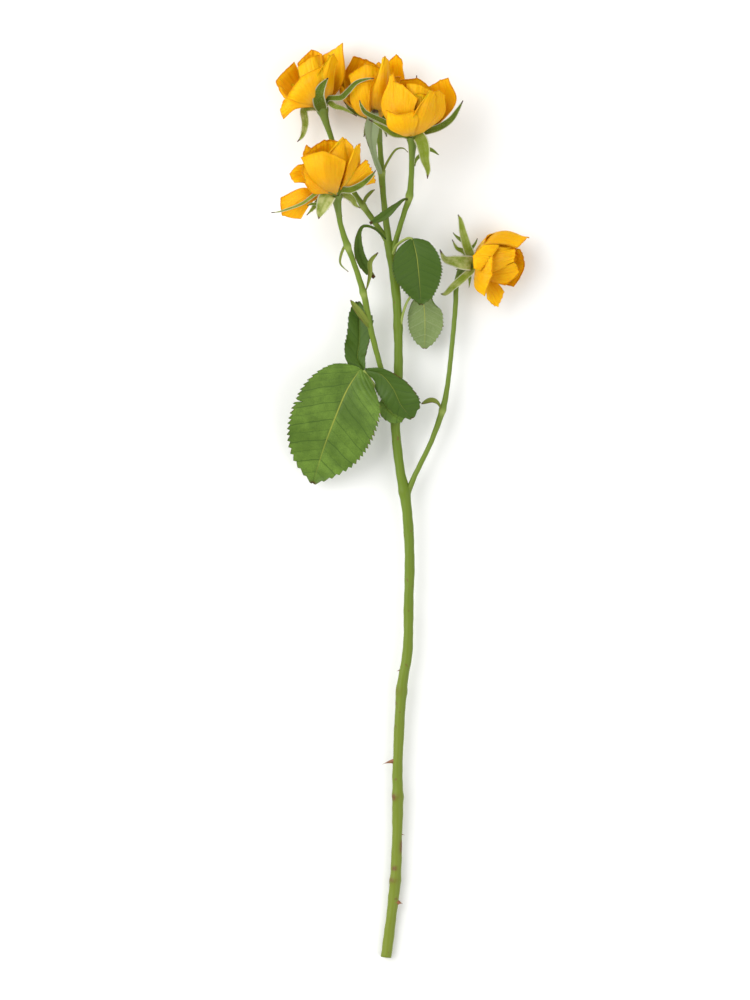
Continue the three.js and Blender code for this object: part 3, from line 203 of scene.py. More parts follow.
# The blooms. Each petal that shows has the routes of its left margin, its middle and its right margin, as
# distances from the top of the green cup: to the right, up the stem, and above the plane through the
# bloom's axis. turn is where its foot stands round the axis and roll how far each margin turns back, both
# in degrees, ridge how far a fold up its middle stands out, and ragged how deep its lip is torn, as a
# share of its length. heart turns the petals inside. Sepals have the path up their middle, half is their
# half width, widest the share of the path where they have it, and tone how deep their green is. lobes are
# the side and the share of the path where a side lobe grows.
BLOOMS = [
    dict(
        axis=[-0.26, 0.96, 0.04],
        heart=40,
        petals=[
            dict(
                turn=125, left=[[-5, 9, -9], [-4, 19, -11], [-1.5, 26, -9]],
                middle=[[3, 9, -8], [4, 20, -6.5], [5, 29.2, -5]],
                right=[[8.2, 9.5, 2], [11.2, 18, 5.5], [10.3, 32.7, 1]],
            ),
            dict(
                turn=60, left=[[-3.6, 7, 7.5], [-0.8, 15.5, 10.5], [4.2, 26, 8.5]], roll=[150, 0],
                middle=[[1.5, 7, 8.5], [2.8, 16, 10.5], [5.2, 26.8, 7.5]],
                right=[[5.4, 8, 5], [5.8, 16, 5.5], [7.2, 23.5, 4.5]],
            ),
            dict(
                turn=190, left=[[-8, 7, -5], [-11.5, 15, -7], [-12, 22.5, -5.5]],
                middle=[[-3, 9, -8], [-5.5, 20, -9], [-5.3, 29.2, -7]],
                right=[[2, 9, -6], [1, 19, -7], [-0.8, 27, -6]],
            ),
            dict(
                turn=0, left=[[-7, 7, 3], [-10, 14, 3.5], [-11.6, 20.4, 0.5]],
                middle=[[-2, 8, 7], [-4, 16, 8], [-6, 24.8, 4.5]],
                right=[[2, 9, 6], [1, 17, 6], [-1.5, 26.4, 1]],
            ),
            dict(
                turn=-100, left=[[-9, 1.5, 5], [-14, 3, 6.5], [-18.3, 4.6, 6]],
                middle=[[-9, 4, -1], [-16, 8.5, -1], [-22.6, 13.8, 1]],
                right=[[-6, 8, -7], [-10.5, 16, -8], [-13.3, 23.2, -5]],
            ),
            dict(
                turn=-20, ridge=1.8, left=[[-6.5, 1.5, 6.5], [-12.5, 3, 9.5], [-17.8, 5, 8.5]],
                middle=[[-4.5, 5, 9.5], [-7.5, 10.5, 12.2], [-9.8, 15.2, 11.4]],
                right=[[0, 6, 9], [0.6, 13, 10.5], [0.2, 20.4, 9]],
            ),
            dict(
                turn=-60, left=[[-6.5, 0.4, 7], [-13.4, -0.8, 10], [-19.2, -5.6, 8.5]],
                middle=[[-7, 2, 7], [-14.5, 3, 9.5], [-20.6, -1, 8]],
                right=[[-7, 3.5, 5], [-13.5, 5.5, 6.5], [-18.8, 3.6, 6.5]],
            ),
        ],
        back=[dict(turn=176, length=30.2), dict(turn=248, length=19)],
        sepals=[
            dict(
                half=3.3, widest=0.2, lobes=[(-1, 0.35)], tone=1,
                path=[
                    [-1.3, 2.7, 7.4], [-1.6, 6.2, 10.8], [-0.4, 9.7, 12.4],
                    [1.4, 12.5, 13.2], [3.1, 14.7, 13.4],
                ],
            ),
            dict(
                half=1.5, widest=0.35, tone=0.9,
                path=[
                    [2.7, 4.5, 6], [9.1, 4.9, 9.5], [12.4, 7.5, 12.5],
                    [17.1, 12.2, 16], [22.4, 13.9, 18], [25.9, 14.2, 18.6],
                ],
            ),
            dict(
                half=1.5, widest=0.4,
                path=[[2.7, 3.2, 3.4], [6.4, 0.9, 4.4], [11.1, -0.5, 4.8], [17.4, -4, 4.2]],
            ),
            dict(
                half=1.9, widest=0.45, lobes=[(1, 0.1)],
                path=[
                    [-5.1, 0.2, 1], [-9, -0.8, 1], [-8.4, -7.2, 0],
                    [-9.6, -13.2, -1], [-12.3, -16.6, -2],
                ],
            ),
            dict(
                half=2, widest=0.3,
                path=[[0.6, 0.4, -4.6], [1.2, -3, -6.2], [2.2, -7, -6.4], [3.2, -11, -5.6]],
            ),
        ],
    ),
    dict(
        axis=[-0.16, 0.91, 0.38],
        heart=200,
        petals=[
            dict(
                turn=-150, left=[[-11, 7, -7], [-17.6, 18, -9], [-11.8, 31.8, -7]],
                middle=[[-5, 9, -12], [-6.5, 20, -14], [-5, 29.8, -11]],
                right=[[5, 9, -11], [5, 19, -12], [2.5, 25.6, -9]],
            ),
            dict(
                turn=-85, left=[[-9, 4, 3], [-14, 9, 2], [-16.6, 17, -3]],
                middle=[[-12, 5, -4], [-17.2, 11, -7], [-19.0, 18, -9]],
                right=[[-11, 8, -7], [-16.4, 16, -9], [-17, 23, -9]],
            ),
            dict(
                turn=-15, left=[[-9, 3, 5], [-13, 9, 6], [-13, 16, 4.5]],
                middle=[[-3, 4, 8.5], [-5, 11, 10.5], [-6, 18.6, 9]],
                right=[[4, 4, 8], [5, 11, 9.5], [2, 20, 9]],
            ),
            dict(
                turn=0, left=[[-8, 8, 2], [-12, 16, 1.5], [-14, 22, -1]],
                middle=[[-3, 8, 5], [-5, 18, 5], [-5.5, 27.5, 2]],
                right=[[3, 8, 4], [4, 17, 5], [2, 25, 1]],
            ),
            dict(
                turn=50, left=[[-2.5, 6, 10], [-2.2, 14, 12.5], [4.0, 29.6, 7.8]], roll=[140, 0],
                middle=[[2.5, 6, 10], [3.2, 17, 12.5], [3.9, 31, 7.5]],
                right=[[6.6, 7, 6.5], [7.2, 17, 7], [6, 27, 5]],
            ),
            dict(
                turn=115, left=[[5, 9, -9], [6.5, 19, -10], [5.4, 28.6, -8]],
                middle=[[10, 9, -6], [11, 20, -6], [9.7, 32.2, -5]],
                right=[[12, 10, -1], [14, 18, -1], [12.4, 28, -2]],
            ),
        ],
        back=[dict(turn=160), dict(turn=222)],
        sepals=[
            dict(
                half=1.5, widest=0.35, lobes=[(1, 0.5)],
                path=[[-5.4, 1.9, 2.4], [-9.4, 3.5, 2], [-13.1, 5.2, 1.4], [-16.1, 8.9, 1.4]],
            ),
            dict(half=1.9, widest=0.3, path=[[1.6, -0.6, 4.4], [3.6, -2.6, 6.4], [5.2, -5.2, 7.6]]),
            dict(half=2, widest=0.3, path=[[4.6, 1.6, 0.4], [8.4, 3.6, 0], [11.2, 7.2, 0.4]]),
            dict(half=2, widest=0.3, path=[[2.6, -0.8, -4.2], [4.2, -4, -5], [5, -8, -4]]),
            dict(half=2, widest=0.3, path=[[-3, -0.8, -4.2], [-5, -4, -4.6], [-6.4, -8, -3.6]]),
        ],
    ),
    dict(
        axis=[0.05, 0.97, 0.2],
        heart=75,
        petals=[
            dict(
                turn=100, left=[[6, 9, -9], [8, 17, -10], [7.5, 24.5, -8]],
                middle=[[10.5, 8, -7], [15, 18, -7.5], [13.5, 28.2, -7]],
                right=[[13.2, 7, 0], [21.4, 18, -1], [17.6, 29.5, -4]],
            ),
            dict(
                turn=70, left=[[6, 6, 8], [8, 13, 9], [9.6, 21.8, 6]],
                middle=[[9, 6, 6], [12.5, 14, 6.5], [13, 22.8, 4.5]],
                right=[[11.5, 7, 2], [15.8, 13, 3], [15.8, 20.5, 3]],
            ),
            dict(
                turn=35, left=[[-0.5, 3.5, 8], [3, 12.5, 12], [8.4, 23, 9]], roll=[150, 0],
                middle=[[3, 3.5, 9], [7, 12.5, 12], [9.8, 22.4, 8.5]],
                right=[[7, 4, 7], [11, 12, 8.5], [11, 20, 7]],
            ),
            dict(
                turn=-20, ridge=1.2, left=[[-5.5, 0.8, 7], [-12.4, 4.8, 9.5], [-12.8, 13.2, 10]],
                middle=[[-2.5, 2, 9.5], [-4.5, 6.5, 12.5], [-6, 11.2, 13]],
                right=[[1, 3, 9.5], [2.5, 8, 12], [2.8, 13.4, 11]],
            ),
            dict(
                turn=-95, left=[[-5, 6, 7], [-6, 14, 8], [-9.4, 32, 2]],
                middle=[[-11.5, 7, 0], [-15.4, 16, 0], [-10.5, 30, 0]],
                right=[[-9, 9, -7], [-11, 20, -8], [-6, 30, -6]],
            ),
            dict(
                turn=20, left=[[-3, 7, 6], [-4, 16, 7], [-3, 26.5, 3]],
                middle=[[2, 7, 8], [3, 16, 9], [3.5, 25.6, 5]],
                right=[[6, 7, 7], [8.5, 15, 7.5], [9, 22, 3.5]],
            ),
            dict(
                turn=-30, left=[[-6, 7, 6], [-9, 16, 7], [-9.5, 27.5, 3]],
                middle=[[-3, 7, 8.5], [-5, 15, 10.5], [-5, 25.4, 6.5]],
                right=[[0, 6, 9], [0.5, 13, 11], [2.5, 18.6, 10]],
            ),
            dict(
                turn=15, left=[[-3, 6, 7], [-3, 13, 8], [-2.4, 20.6, 6.5]],
                middle=[[1, 6, 7.6], [2.5, 13, 9], [3.4, 21.2, 7]],
                right=[[5, 6, 7.4], [7.6, 12, 8.6], [8.6, 20, 6]],
            ),
            dict(
                turn=180, left=[[-8, 8, -7], [-9, 18, -9], [-6, 28, -6]],
                middle=[[0, 9, -11], [1, 19, -12], [2, 29, -8]],
                right=[[7, 8, -8], [9, 17, -9], [7.8, 24.5, -6]],
            ),
        ],
        back=[dict(turn=150), dict(turn=215)],
        sepals=[
            dict(
                half=1.9, widest=0.4,
                path=[[-4.1, 1, 3], [-9.4, 1.6, 4], [-14.8, 4.6, 4.6], [-21.9, 8.5, 4.6]],
            ),
            dict(
                half=1.4, widest=0.4,
                path=[
                    [-4.4, 2, -1.4], [-14.1, 7.6, -3.6], [-22.9, 11.8, -4],
                    [-25.5, 15.2, -4], [-26.5, 18.2, -4],
                ],
            ),
            dict(
                half=1.8, widest=0.4,
                path=[[4.6, 2, 0.4], [12.6, 4.6, 0], [18.6, 8.4, 0], [22.4, 13.6, 0], [24.9, 18, -0.6]],
            ),
            dict(
                half=3.3, widest=0.34, lobes=[(-1, 0.5), (1, 0.6)], tone=1,
                path=[
                    [2.2, 0.6, 4], [4.2, -2, 6], [5.4, -6.4, 6.8],
                    [5.9, -11, 7.2], [7.4, -16.4, 6.8], [7.2, -20.7, 6.6],
                ],
            ),
            dict(
                half=2.2, widest=0.3,
                path=[[0.5, 2.4, -5], [1, 10, -12.8], [1.5, 20, -13.8], [1.9, 30.6, -10]],
            ),
        ],
    ),
    dict(
        axis=[-0.14, 0.95, 0.26],
        heart=140,
        petals=[
            dict(
                turn=180, left=[[-9, 7, -6], [-14, 14, -6], [-14, 20.5, -4]],
                middle=[[-4, 8, -9], [-6.5, 18, -10], [-6, 27, -6]],
                right=[[3, 8, -8], [3, 17, -8], [1, 25.9, -5]],
            ),
            dict(
                turn=-15, ridge=3, left=[[-8, 3, 7], [-13.6, 10, 9.5], [-17.2, 18.4, 7.5]],
                middle=[[-3, 5, 10], [-5.5, 13, 12.5], [-6.6, 21, 10]],
                right=[[2, 5, 9], [4, 11, 10], [4.6, 16.4, 8.5]],
            ),
            dict(
                turn=40, left=[[-3, 8, 4], [-4.5, 17, 5], [3.4, 28.6, 1.5]], roll=[110, 0],
                middle=[[1, 8, 5], [2.5, 17, 5.5], [4, 27, 1]],
                right=[[6, 8, 3], [8, 15, 3.5], [4.4, 23.2, 1.5]],
            ),
            dict(
                turn=65, ragged=0.04, left=[[4, 6, 6], [6.5, 15, 7.5], [10.4, 25, 4]], roll=[130, 0],
                middle=[[7, 6, 4], [9.5, 14, 5], [11.6, 25.4, 2]],
                right=[[9, 7, 1], [11.5, 14, 1.5], [11, 22, 0]],
            ),
            dict(
                turn=95, ragged=0.09, left=[[4.5, 5.5, 5], [9.6, 12, 5], [15.4, 18.4, 3]],
                middle=[[6, 4, 4], [13, 8.5, 4.5], [18.4, 12.6, 2.5]],
                right=[[6.5, 3, 0], [13.5, 5, 1], [20.4, 6.6, 0]],
            ),
            dict(
                turn=-105, left=[[-9, 3, 0], [-15, 5.5, 1], [-20.5, 6, 1.5]],
                middle=[[-9, 5, -3], [-16, 10, -3], [-22.8, 10.5, -1]],
                right=[[-7, 8, -6], [-13, 15, -6], [-18.6, 15, -4]],
            ),
            dict(
                turn=-50, ridge=1.6, left=[[-6, 0.5, 7], [-11.5, 0.4, 10], [-15, 4, 11]],
                middle=[[-7, 3, 7], [-13, 6.5, 8.5], [-17, 9.5, 7]],
                right=[[-7, 6, 4], [-13, 12, 5], [-16.5, 14.6, 4]],
            ),
            dict(
                turn=-80, left=[[-7, -1, 2], [-12, -4, 4], [-17.5, -11.6, 3]],
                middle=[[-8, 0, 1], [-17, -1.5, 4.5], [-26.5, -10, 3]],
                right=[[-8.5, 1, -1], [-16.5, 3.4, 0], [-27.6, -1.4, 1]],
            ),
        ],
        back=[dict(turn=150), dict(turn=220)],
        sepals=[
            dict(
                half=4.2, widest=0.32, lobes=[(1, 0.6)], tone=0.0,
                path=[
                    [-3.2, 0.6, 4.4], [-5, -2.2, 7.2], [-6.6, -5.7, 8.4],
                    [-7.9, -9.2, 8.8], [-8.6, -12.1, 9],
                ],
            ),
            dict(
                half=1, widest=0.3, tone=0.9,
                path=[
                    [-3.4, 1.5, 3.4], [-9, 1, 6], [-16.7, -4.4, 7.2],
                    [-26.7, -8.1, 6.8], [-32.1, -9, 6.4],
                ],
            ),
            dict(
                half=1.7, widest=0.35,
                path=[[-3.8, 0, 1.6], [-8.4, -3, 2.4], [-11.3, -6.6, 2.8], [-14.6, -10.1, 2.4]],
            ),
            dict(
                half=1.7, widest=0.4,
                path=[[2.5, 2.2, 5], [7.4, 2.4, 6.4], [12.8, 5, 6.6], [17.4, 9, 5.4], [19.8, 12, 4.4]],
            ),
            dict(
                half=1.8, widest=0.35,
                path=[[3.6, 0.6, -0.8], [7.9, -1.9, -1.4], [9.6, -4.7, -1], [12.1, -6.5, -0.8]],
            ),
        ],
    ),
    dict(
        axis=[0.93, 0.26, 0.2],
        heart=20,
        petals=[
            dict(
                turn=-95, left=[[4, 8, -8], [12, 12, -9], [22, 10, -7]],
                middle=[[5, 11, -2], [15, 16.5, -2.5], [27.4, 13.2, -2]],
                right=[[4.6, 8.8, 5], [13, 9.6, 6], [21.7, 7.6, 4]],
            ),
            dict(
                turn=-25, left=[[5.5, 6, 6], [12.6, 9, 8.5], [4.6, 9.4, 10]],
                middle=[[4, 1, 9.5], [7.8, 2.6, 13], [-0.4, 3.8, 13.8]],
                right=[[1.5, -2, 9], [2.8, -3.6, 12], [0.2, -2.4, 13.6]],
            ),
            dict(
                turn=35, left=[[2, 1, 7], [5.5, 3.4, 11.5], [9.8, 3.4, 13.5]],
                middle=[[1.5, -3.5, 7.5], [5, -5.5, 12], [9, -5.5, 14.5]],
                right=[[0.4, -6.8, 3.4], [1.4, -12.4, 5.6], [5.6, -16.2, 8]],
            ),
            dict(
                turn=95, ragged=0.07, left=[[4, -7, 5], [5.6, -12.5, 6.5], [7, -18, 6]],
                middle=[[5, -8, 2], [9, -14.5, 3], [12.3, -21.6, 3]],
                right=[[8, -6.5, -1], [13, -10.5, -1.5], [15.3, -14, 0]],
            ),
            dict(
                turn=180, left=[[8, 8, -8], [17, 9.5, -9], [22.4, 6.6, -6]],
                middle=[[9, 2, -11], [18, 2.6, -12.5], [25.4, -1.2, -8.5]],
                right=[[8, -5, -9], [14.5, -9.5, -9.5], [19.6, -11, -5.5]],
            ),
            dict(
                turn=40, left=[[6, 6.5, 5], [13, 8, 6], [20.4, 7.2, 3.5]],
                middle=[[6.5, 2, 8], [13, 3.2, 8.5], [20.4, 4.4, 4.8]],
                right=[[6, -3.5, 7], [10, -4.5, 8.5], [19.4, 1.8, 4.5]],
            ),
            dict(
                turn=75, ragged=0.03, left=[[7, 0, 4], [13, -1.5, 5.5], [20.4, 1, 3.5]],
                middle=[[7, -4, 4], [14, -5, 4.5], [22.8, -4.2, 2]],
                right=[[6, -7, 2], [10, -9.5, 3], [16, -10.4, 2]],
            ),
        ],
        back=[
            dict(turn=176, length=28, lean=[90, 34, -10], curl=0),
            dict(turn=225, length=24, lean=[90, 28, -10], curl=0),
        ],
        sepals=[
            dict(
                half=2.4, widest=0.3, lobes=[(1, 0.35), (-1, 0.5)], tone=0.8,
                path=[
                    [-1.4, 3.6, 1.8], [-3.3, 8.6, 3.2], [-5.4, 16, 3.6],
                    [-6.6, 21.8, 3.8], [-7.9, 24.6, 4],
                ],
            ),
            dict(
                half=1.5, widest=0.35, lobes=[(1, 0.3)],
                path=[[-2.2, 3.4, -0.8], [-4.9, 6.3, -0.6], [-8.4, 8, 0], [-10.7, 12.2, 0]],
            ),
            dict(
                half=3.7, widest=0.28, tone=0.2,
                path=[
                    [-1.6, 0.3, 4.6], [-5.8, 0.6, 7.2], [-9.8, 1.3, 8.6],
                    [-14.4, 2.4, 9.6], [-16.9, 7.1, 9.8],
                ],
            ),
            dict(
                half=2, widest=0.4, lobes=[(-1, 0.3)], tone=0.4,
                path=[
                    [-1, -3, 3.6], [-5.6, -7.3, 6.6], [-10.2, -11.2, 7.8],
                    [-14, -14.8, 7.8], [-16.4, -15, 7.8],
                ],
            ),
            dict(half=2.2, widest=0.3, path=[[-1.6, -1, -4.4], [-4.6, -2, -5.4], [-8.6, -2.6, -4.6]]),
        ],
    ),
]

# Leaves and bracts: the path up the middle of each blade and the way its upper side looks. left and right
# are its widths at each tenth of that path, and half is the width to either side of a plain one. fold is
# how far each side folds up, in degrees, and wave how far the margin waves. torn is a tear in the margin:
# its side, where it is, and its depth and half width as shares of the width and of the path.
LEAVES = dict(
    leaf_lower=dict(
        stalk=[
            [-2.6, 42.5, 12.4, 1.0],
            [-6.5, 47, 15.6, 0.8],
            [-12, 56, 17.6, 0.75],
            [-18.2, 64.6, 18.6, 0.75],
        ],
        blades=[
            dict(
                path=[
                    [-19.8, 65.4, 18.8], [-26.6, 54.6, 19.4], [-32.6, 40.4, 17.8],
                    [-38.2, 25.5, 13.4], [-43.5, 8.3, 7.6],
                ],
                left=[13.2, 18.5, 20.8, 21.7, 21.9, 21.2, 19.7, 16.3, 9.6, 0.4],
                right=[12.8, 17, 20.4, 22, 22.3, 21.8, 20.2, 17, 10.7, 0.4],
                teeth=26, veins=12, tone=0.0, torn=(1, 0.46, 0.15, 0.014),
                face=[0.06, 0.2, 1], fold=7, wave=0.7,
            ),
            dict(
                path=[
                    [-17.4, 65, 18.5], [-9.6, 62.6, 21.4], [-3.6, 55.6, 22.4],
                    [0.5, 47.2, 21.4], [5.9, 40.6, 19.6],
                ],
                left=[1.8, 3.4, 5.2, 7.2, 9.2, 10.8, 11.8, 11.6, 9, 0.4],
                right=[3.5, 6.2, 8, 8.4, 8.2, 7.8, 7.1, 5.6, 3.6, 0.4],
                teeth=15, veins=8, tone=0.95, face=[-0.34, -0.5, 1], fold=8, wave=0.4,
            ),
            dict(
                path=[
                    [-18, 64.6, 18.5], [-21.2, 71, 16.2], [-20.4, 79, 14],
                    [-20.6, 90, 11.4], [-21.1, 99, 10.4],
                ],
                left=[4, 5.8, 6.8, 7.5, 7, 6.4, 5.8, 5.2, 3.6, 0.4],
                right=[3.6, 4.8, 5, 5, 6, 7.2, 8.2, 7, 4, 0.4],
                teeth=14, veins=8, tone=0.9, face=[-0.1, -0.2, 1], fold=20, wave=0.6,
            ),
            dict(
                path=[[-8.2, 51, 16.2], [-6.8, 46.4, 16.4], [-3.4, 42.6, 16], [1.4, 39.6, 15]],
                left=[2.4, 3.6, 4.4, 4.8, 5, 4.8, 4.4, 3.6, 2.2, 0.4],
                right=[2.4, 3.6, 4.4, 4.8, 5, 4.8, 4.4, 3.6, 2.2, 0.4],
                teeth=8, veins=5, tone=0.0, face=[0.1, 0, 1], fold=4, wave=0.2,
            ),
        ],
    ),
    leaf_upper=dict(
        stalk=[
            [-3.6, 122.5, 15.2, 0.9],
            [-1.5, 127, 19.5, 0.75],
            [3.5, 130.2, 23.6, 0.7],
            [6.2, 129.9, 25.4, 0.7],
        ],
        blades=[
            dict(
                path=[
                    [6.2, 130, 25.3], [8.2, 121.8, 26.4], [9.2, 113.6, 25.6],
                    [9.9, 105.4, 23.6], [10.4, 97.3, 21.2],
                ],
                left=[7.8, 9.8, 11.4, 12, 12.1, 11.2, 10, 8, 5.6, 0.4],
                right=[9.2, 11.8, 12.8, 13.2, 12.9, 11.8, 9.7, 7.4, 4.2, 0.4],
                teeth=22, veins=9, tone=0.95, face=[0, 0.1, 1], fold=5, wave=0.5,
            ),
        ],
    ),
    leaf_back=dict(
        stalk=[
            [0.2, 87, 13.4, 0.85],
            [1.6, 93.5, 13.8, 0.7],
            [4.6, 100.5, 14.4, 0.65],
            [10.6, 104.6, 14.2, 0.65],
        ],
        blades=[
            dict(
                path=[[10.6, 104.5, 14.2], [12.2, 94.8, 13], [12.5, 85.2, 11.8], [12.3, 75.6, 10.4]],
                left=[4.4, 6.8, 8.3, 9, 9, 8.8, 8.3, 7, 4.7, 0.4],
                right=[4, 6.2, 7.6, 9.1, 9.2, 9.3, 8.2, 6.5, 4.2, 0.4],
                teeth=16, veins=8, tone=0.2, torn=(1, 0.22, 0.3, 0.1),
                face=[0.12, -0.05, -1], fold=8, wave=0.5,
            ),
        ],
    ),
    bract_crown=dict(
        look="grey",
        blades=[
            dict(
                path=[
                    [-9.4, 162.5, 12.0], [-12.4, 170, 16.6], [-14.2, 179, 20.6],
                    [-13.8, 187, 23.8], [-12.2, 194.2, 26.2],
                ],
                left=[1.5, 1.5, 1.5, 1.9, 2.8, 3.7, 4.2, 4.1, 3.1, 0.4],
                right=[1.5, 1.5, 1.6, 2.1, 2.9, 3.5, 3.8, 3.5, 2.5, 0.4],
                teeth=9, tone=0.1, face=[0.25, 0, 1], fold=14, wave=0.2,
            ),
        ],
    ),
    bract_thread=dict(
        blades=[
            dict(
                path=[
                    [-8.6, 163.5, 11.6], [-6.4, 168.5, 14.4], [-2.4, 174.4, 16.2],
                    [1.4, 175.4, 16.2], [4.0, 173.4, 15.4],
                ],
                half=0.6, widest=0.25, face=[0, 0, 1], fold=0,
            ),
        ],
    ),
    bract_hook=dict(
        look="green",
        blades=[
            dict(
                path=[
                    [4.2, 149.6, 24.0], [1.6, 149.4, 26.2], [-3, 145.6, 26.4],
                    [-8.5, 141.2, 24.4], [-15, 137.8, 21.6],
                ],
                left=[0.6, 0.6, 0.8, 1.2, 1.7, 2.2, 2.4, 2.1, 1.3, 0.3],
                right=[0.6, 0.6, 0.8, 1.2, 1.7, 2.2, 2.4, 2.1, 1.3, 0.3],
                teeth=8, tone=0.4, face=[0.3, 0.2, 1], fold=24,
            ),
        ],
    ),
    bract_curl=dict(
        look="green",
        blades=[
            dict(
                path=[
                    [-7, 130, 15.2], [-12.5, 135.2, 17.8], [-18.4, 136.4, 18.8], [-20.8, 131, 18.6],
                    [-20.4, 122.5, 17.4], [-16.8, 115.4, 16.2], [-12.8, 110.8, 15.2],
                ],
                left=[0.6, 0.6, 0.7, 1.0, 1.8, 2.6, 2.9, 2.7, 1.7, 0.3],
                right=[0.6, 0.6, 0.7, 1.0, 1.8, 2.6, 2.9, 2.7, 1.7, 0.3],
                teeth=10, tone=0.1, face=[0.3, -0.1, 1], fold=20,
            ),
        ],
    ),
    bract_stalk_4=dict(
        blades=[
            dict(
                path=[
                    [-17.6, 102, 23.4], [-16.0, 107.5, 24.6], [-14.9, 113, 24.8],
                    [-14.8, 118.6, 24.4], [-11, 123.2, 23.6],
                ],
                half=1.2, widest=0.66, face=[0.2, 0, 1], fold=20,
            ),
        ],
    ),
    bract_pale=dict(
        blades=[
            dict(
                path=[[-14.6, 85.4, 20.6], [-18.8, 91.4, 22.4], [-22.2, 96, 23.0], [-24.7, 99.6, 23.0]],
                half=1.9, widest=0.4, face=[0.2, 0.1, 1], fold=22,
            ),
        ],
    ),
    bract_low_thread=dict(
        blades=[
            dict(
                path=[
                    [-27.2, 127.4, 25.8], [-29.4, 122, 25.8], [-29.6, 117.4, 25.2],
                    [-25.8, 113.6, 24.2],
                ],
                half=0.7, widest=0.2, face=[0, 0, 1], fold=0,
            ),
        ],
    ),
    bract_stalk_1=dict(
        blades=[
            dict(
                path=[
                    [-18.4, 146.6, 11.6], [-17.2, 150.4, 14.2], [-14.6, 153.4, 15.4],
                    [-12.6, 154.8, 15.6],
                ],
                half=0.9, widest=0.4, face=[0, 0, 1], fold=10,
            ),
        ],
    ),
    bract_right=dict(
        blades=[
            dict(
                path=[[21.0, 44, 11.6], [18.9, 48.4, 13.4], [15.4, 49.8, 14.2], [10.6, 48.0, 14.2]],
                half=1.3, widest=0.66, face=[0, 0.2, 1], fold=16,
            ),
        ],
    ),
)

# Rings on the main stem: how far each swells and how brown its scar is.
NODES = [
    dict(y=-190, swell=0.35, scar=0.9),
    dict(y=-148, swell=0.4, scar=0.8),
    dict(y=-95.5, swell=0.35, scar=0.45),
    dict(y=4, swell=0.3, scar=0.1),
    dict(y=41, swell=0.3, scar=0.15),
    dict(y=86, swell=0.25, scar=0.1),
    dict(y=122, swell=0.25, scar=0.1),
]

# Old scars on the main stem: where, which way round it (degrees from +X towards +Z), and half their
# length.
OLD_SCARS = [
    dict(y=-173, turn=25, long=3.2),
    dict(y=-184, turn=110, long=1.1),
    dict(y=-148.5, turn=135, long=1.6),
]

# Looks of bracts: body, deep parts and midrib, as the surfaces look in daylight.
BRACT_LOOKS = dict(
    green=["66862b", "43591a", "a0a548"],
    grey=["a5b38c", "8a9a70", "bcc3a0"],
    pale=["8a9143", "6d7a2c", "b0b076"],
)

# Knuckles on each flower stalk, where small leaves grew: how far up the stem each is.
KNUCKLES = [[147], [164], [151.5], [103.5, 126.5], [45]]

# Colours of small parts, as they look in daylight.
TOOTH_BROWN = "5f3a1c"
LEAF_TIP_BROWN = "4a2413"
UNDERSIDE_VEIN = "8d9c6c"
SEPAL_TIP = "3d1418"
LINING_TIP = "46191a"
KNUCKLE_GREEN = "a9b663"
HORN = ["945a26", "6b3a18"]
PITH = ["d6d8b0", "b9bf85"]

# Where the finishes of small parts stand in the list of their piece.
HORN_PLACE, PITH_PLACE = 1, 2
CUP_PLACE, HAIR_PLACE = 2, 3
LEAF_STALK_PLACE = 2

# The lights, in metres: how wide each is and where it stands.
LIGHTS = [
    dict(name="key_light", size=2.0, place=(-1.3, 0.6, 1.2)),
    dict(name="fill_light", size=1.4, place=(1.0, -0.5, 1.2)),
]
FLOOR_HALF = 3  # metres from the middle of the floor to its sides
SENSOR = 36  # millimetres across the camera's sensor
VIEW_MIDDLE = -0.0125  # metres from the middle of the rose to the middle of the picture


# Curves and frames

def on_route(points, t):
    """Points of the smooth route through the given ones, at each t from 0 (the first) to 1 (the last)."""
    points = np.asarray(points, float)
    t = np.atleast_1d(t)
    last = len(points) - 1
    k = np.clip((t * last).astype(int), 0, last - 1)
    w = (t * last - k)[:, None]
    whole = np.vstack([2 * points[0] - points[1], points, 2 * points[-1] - points[-2]])
    before, start, end, after = (whole[k + i] for i in range(4))
    leave, arrive = (end - before) / 2, (after - start) / 2
    bend = 3 * (end - start) - 2 * leave - arrive
    return start + leave * w + bend * w**2 + (2 * (start - end) + leave + arrive) * w**3


def unit(vectors):
    """The vectors at length one."""
    return vectors / np.maximum(np.linalg.norm(vectors, axis=-1, keepdims=True), 1e-9)


def smooth(x, low, high):
    """Rises smoothly from 0 at low to 1 at high."""
    t = np.clip((x - low) / (high - low), 0, 1)
    return t * t * (3 - 2 * t)


def bell(x, width):
    """1 at 0, and falls away smoothly to either side over about the width."""
    return np.exp(-((x / width) ** 2))


def bloom_frame(axis):
    """The axes of a bloom as columns: up from the floor, sideways, and ahead along its axis."""
    ahead = unit(np.array(axis, float))
    up = unit(np.array([0, 0, 1.0]) - ahead * ahead[2])
    return np.column_stack([up, np.cross(ahead, up), ahead])


def turned(points, degrees):
    """The points turned about their own z."""
    sin, cos = math.sin(math.radians(degrees)), math.cos(math.radians(degrees))
    matrix = np.array([[cos, -sin, 0], [sin, cos, 0], [0, 0, 1]])
    return points @ matrix.T


def raised(points, axis):
    """Lifts points that are given above the plane through a bloom's axis."""
    points = np.array(points, float)
    points[:, 2] += (points[:, :2] @ np.array(axis[:2])) * axis[2] / (axis[0] ** 2 + axis[1] ** 2)
    return points


# Surfaces of petals, sepals and leaves. u runs from margin to margin, -1 to 1, and v from foot to tip,
# 0 to 1.

def normals_of(surface, u, v):
    """The way that a surface looks at each u and v."""
    across = surface(u + STEP, v) - surface(u - STEP, v)
    along = surface(u, np.minimum(v + STEP, 1)) - surface(u, np.maximum(v - STEP, 0))
    return unit(np.cross(across, along))


def rounded(u):
    """How much of the left, the middle and the right route counts at u, on a smooth bow through them."""
    return [u * (u - 1) / 2, 1 - u**2, u * (u + 1) / 2]


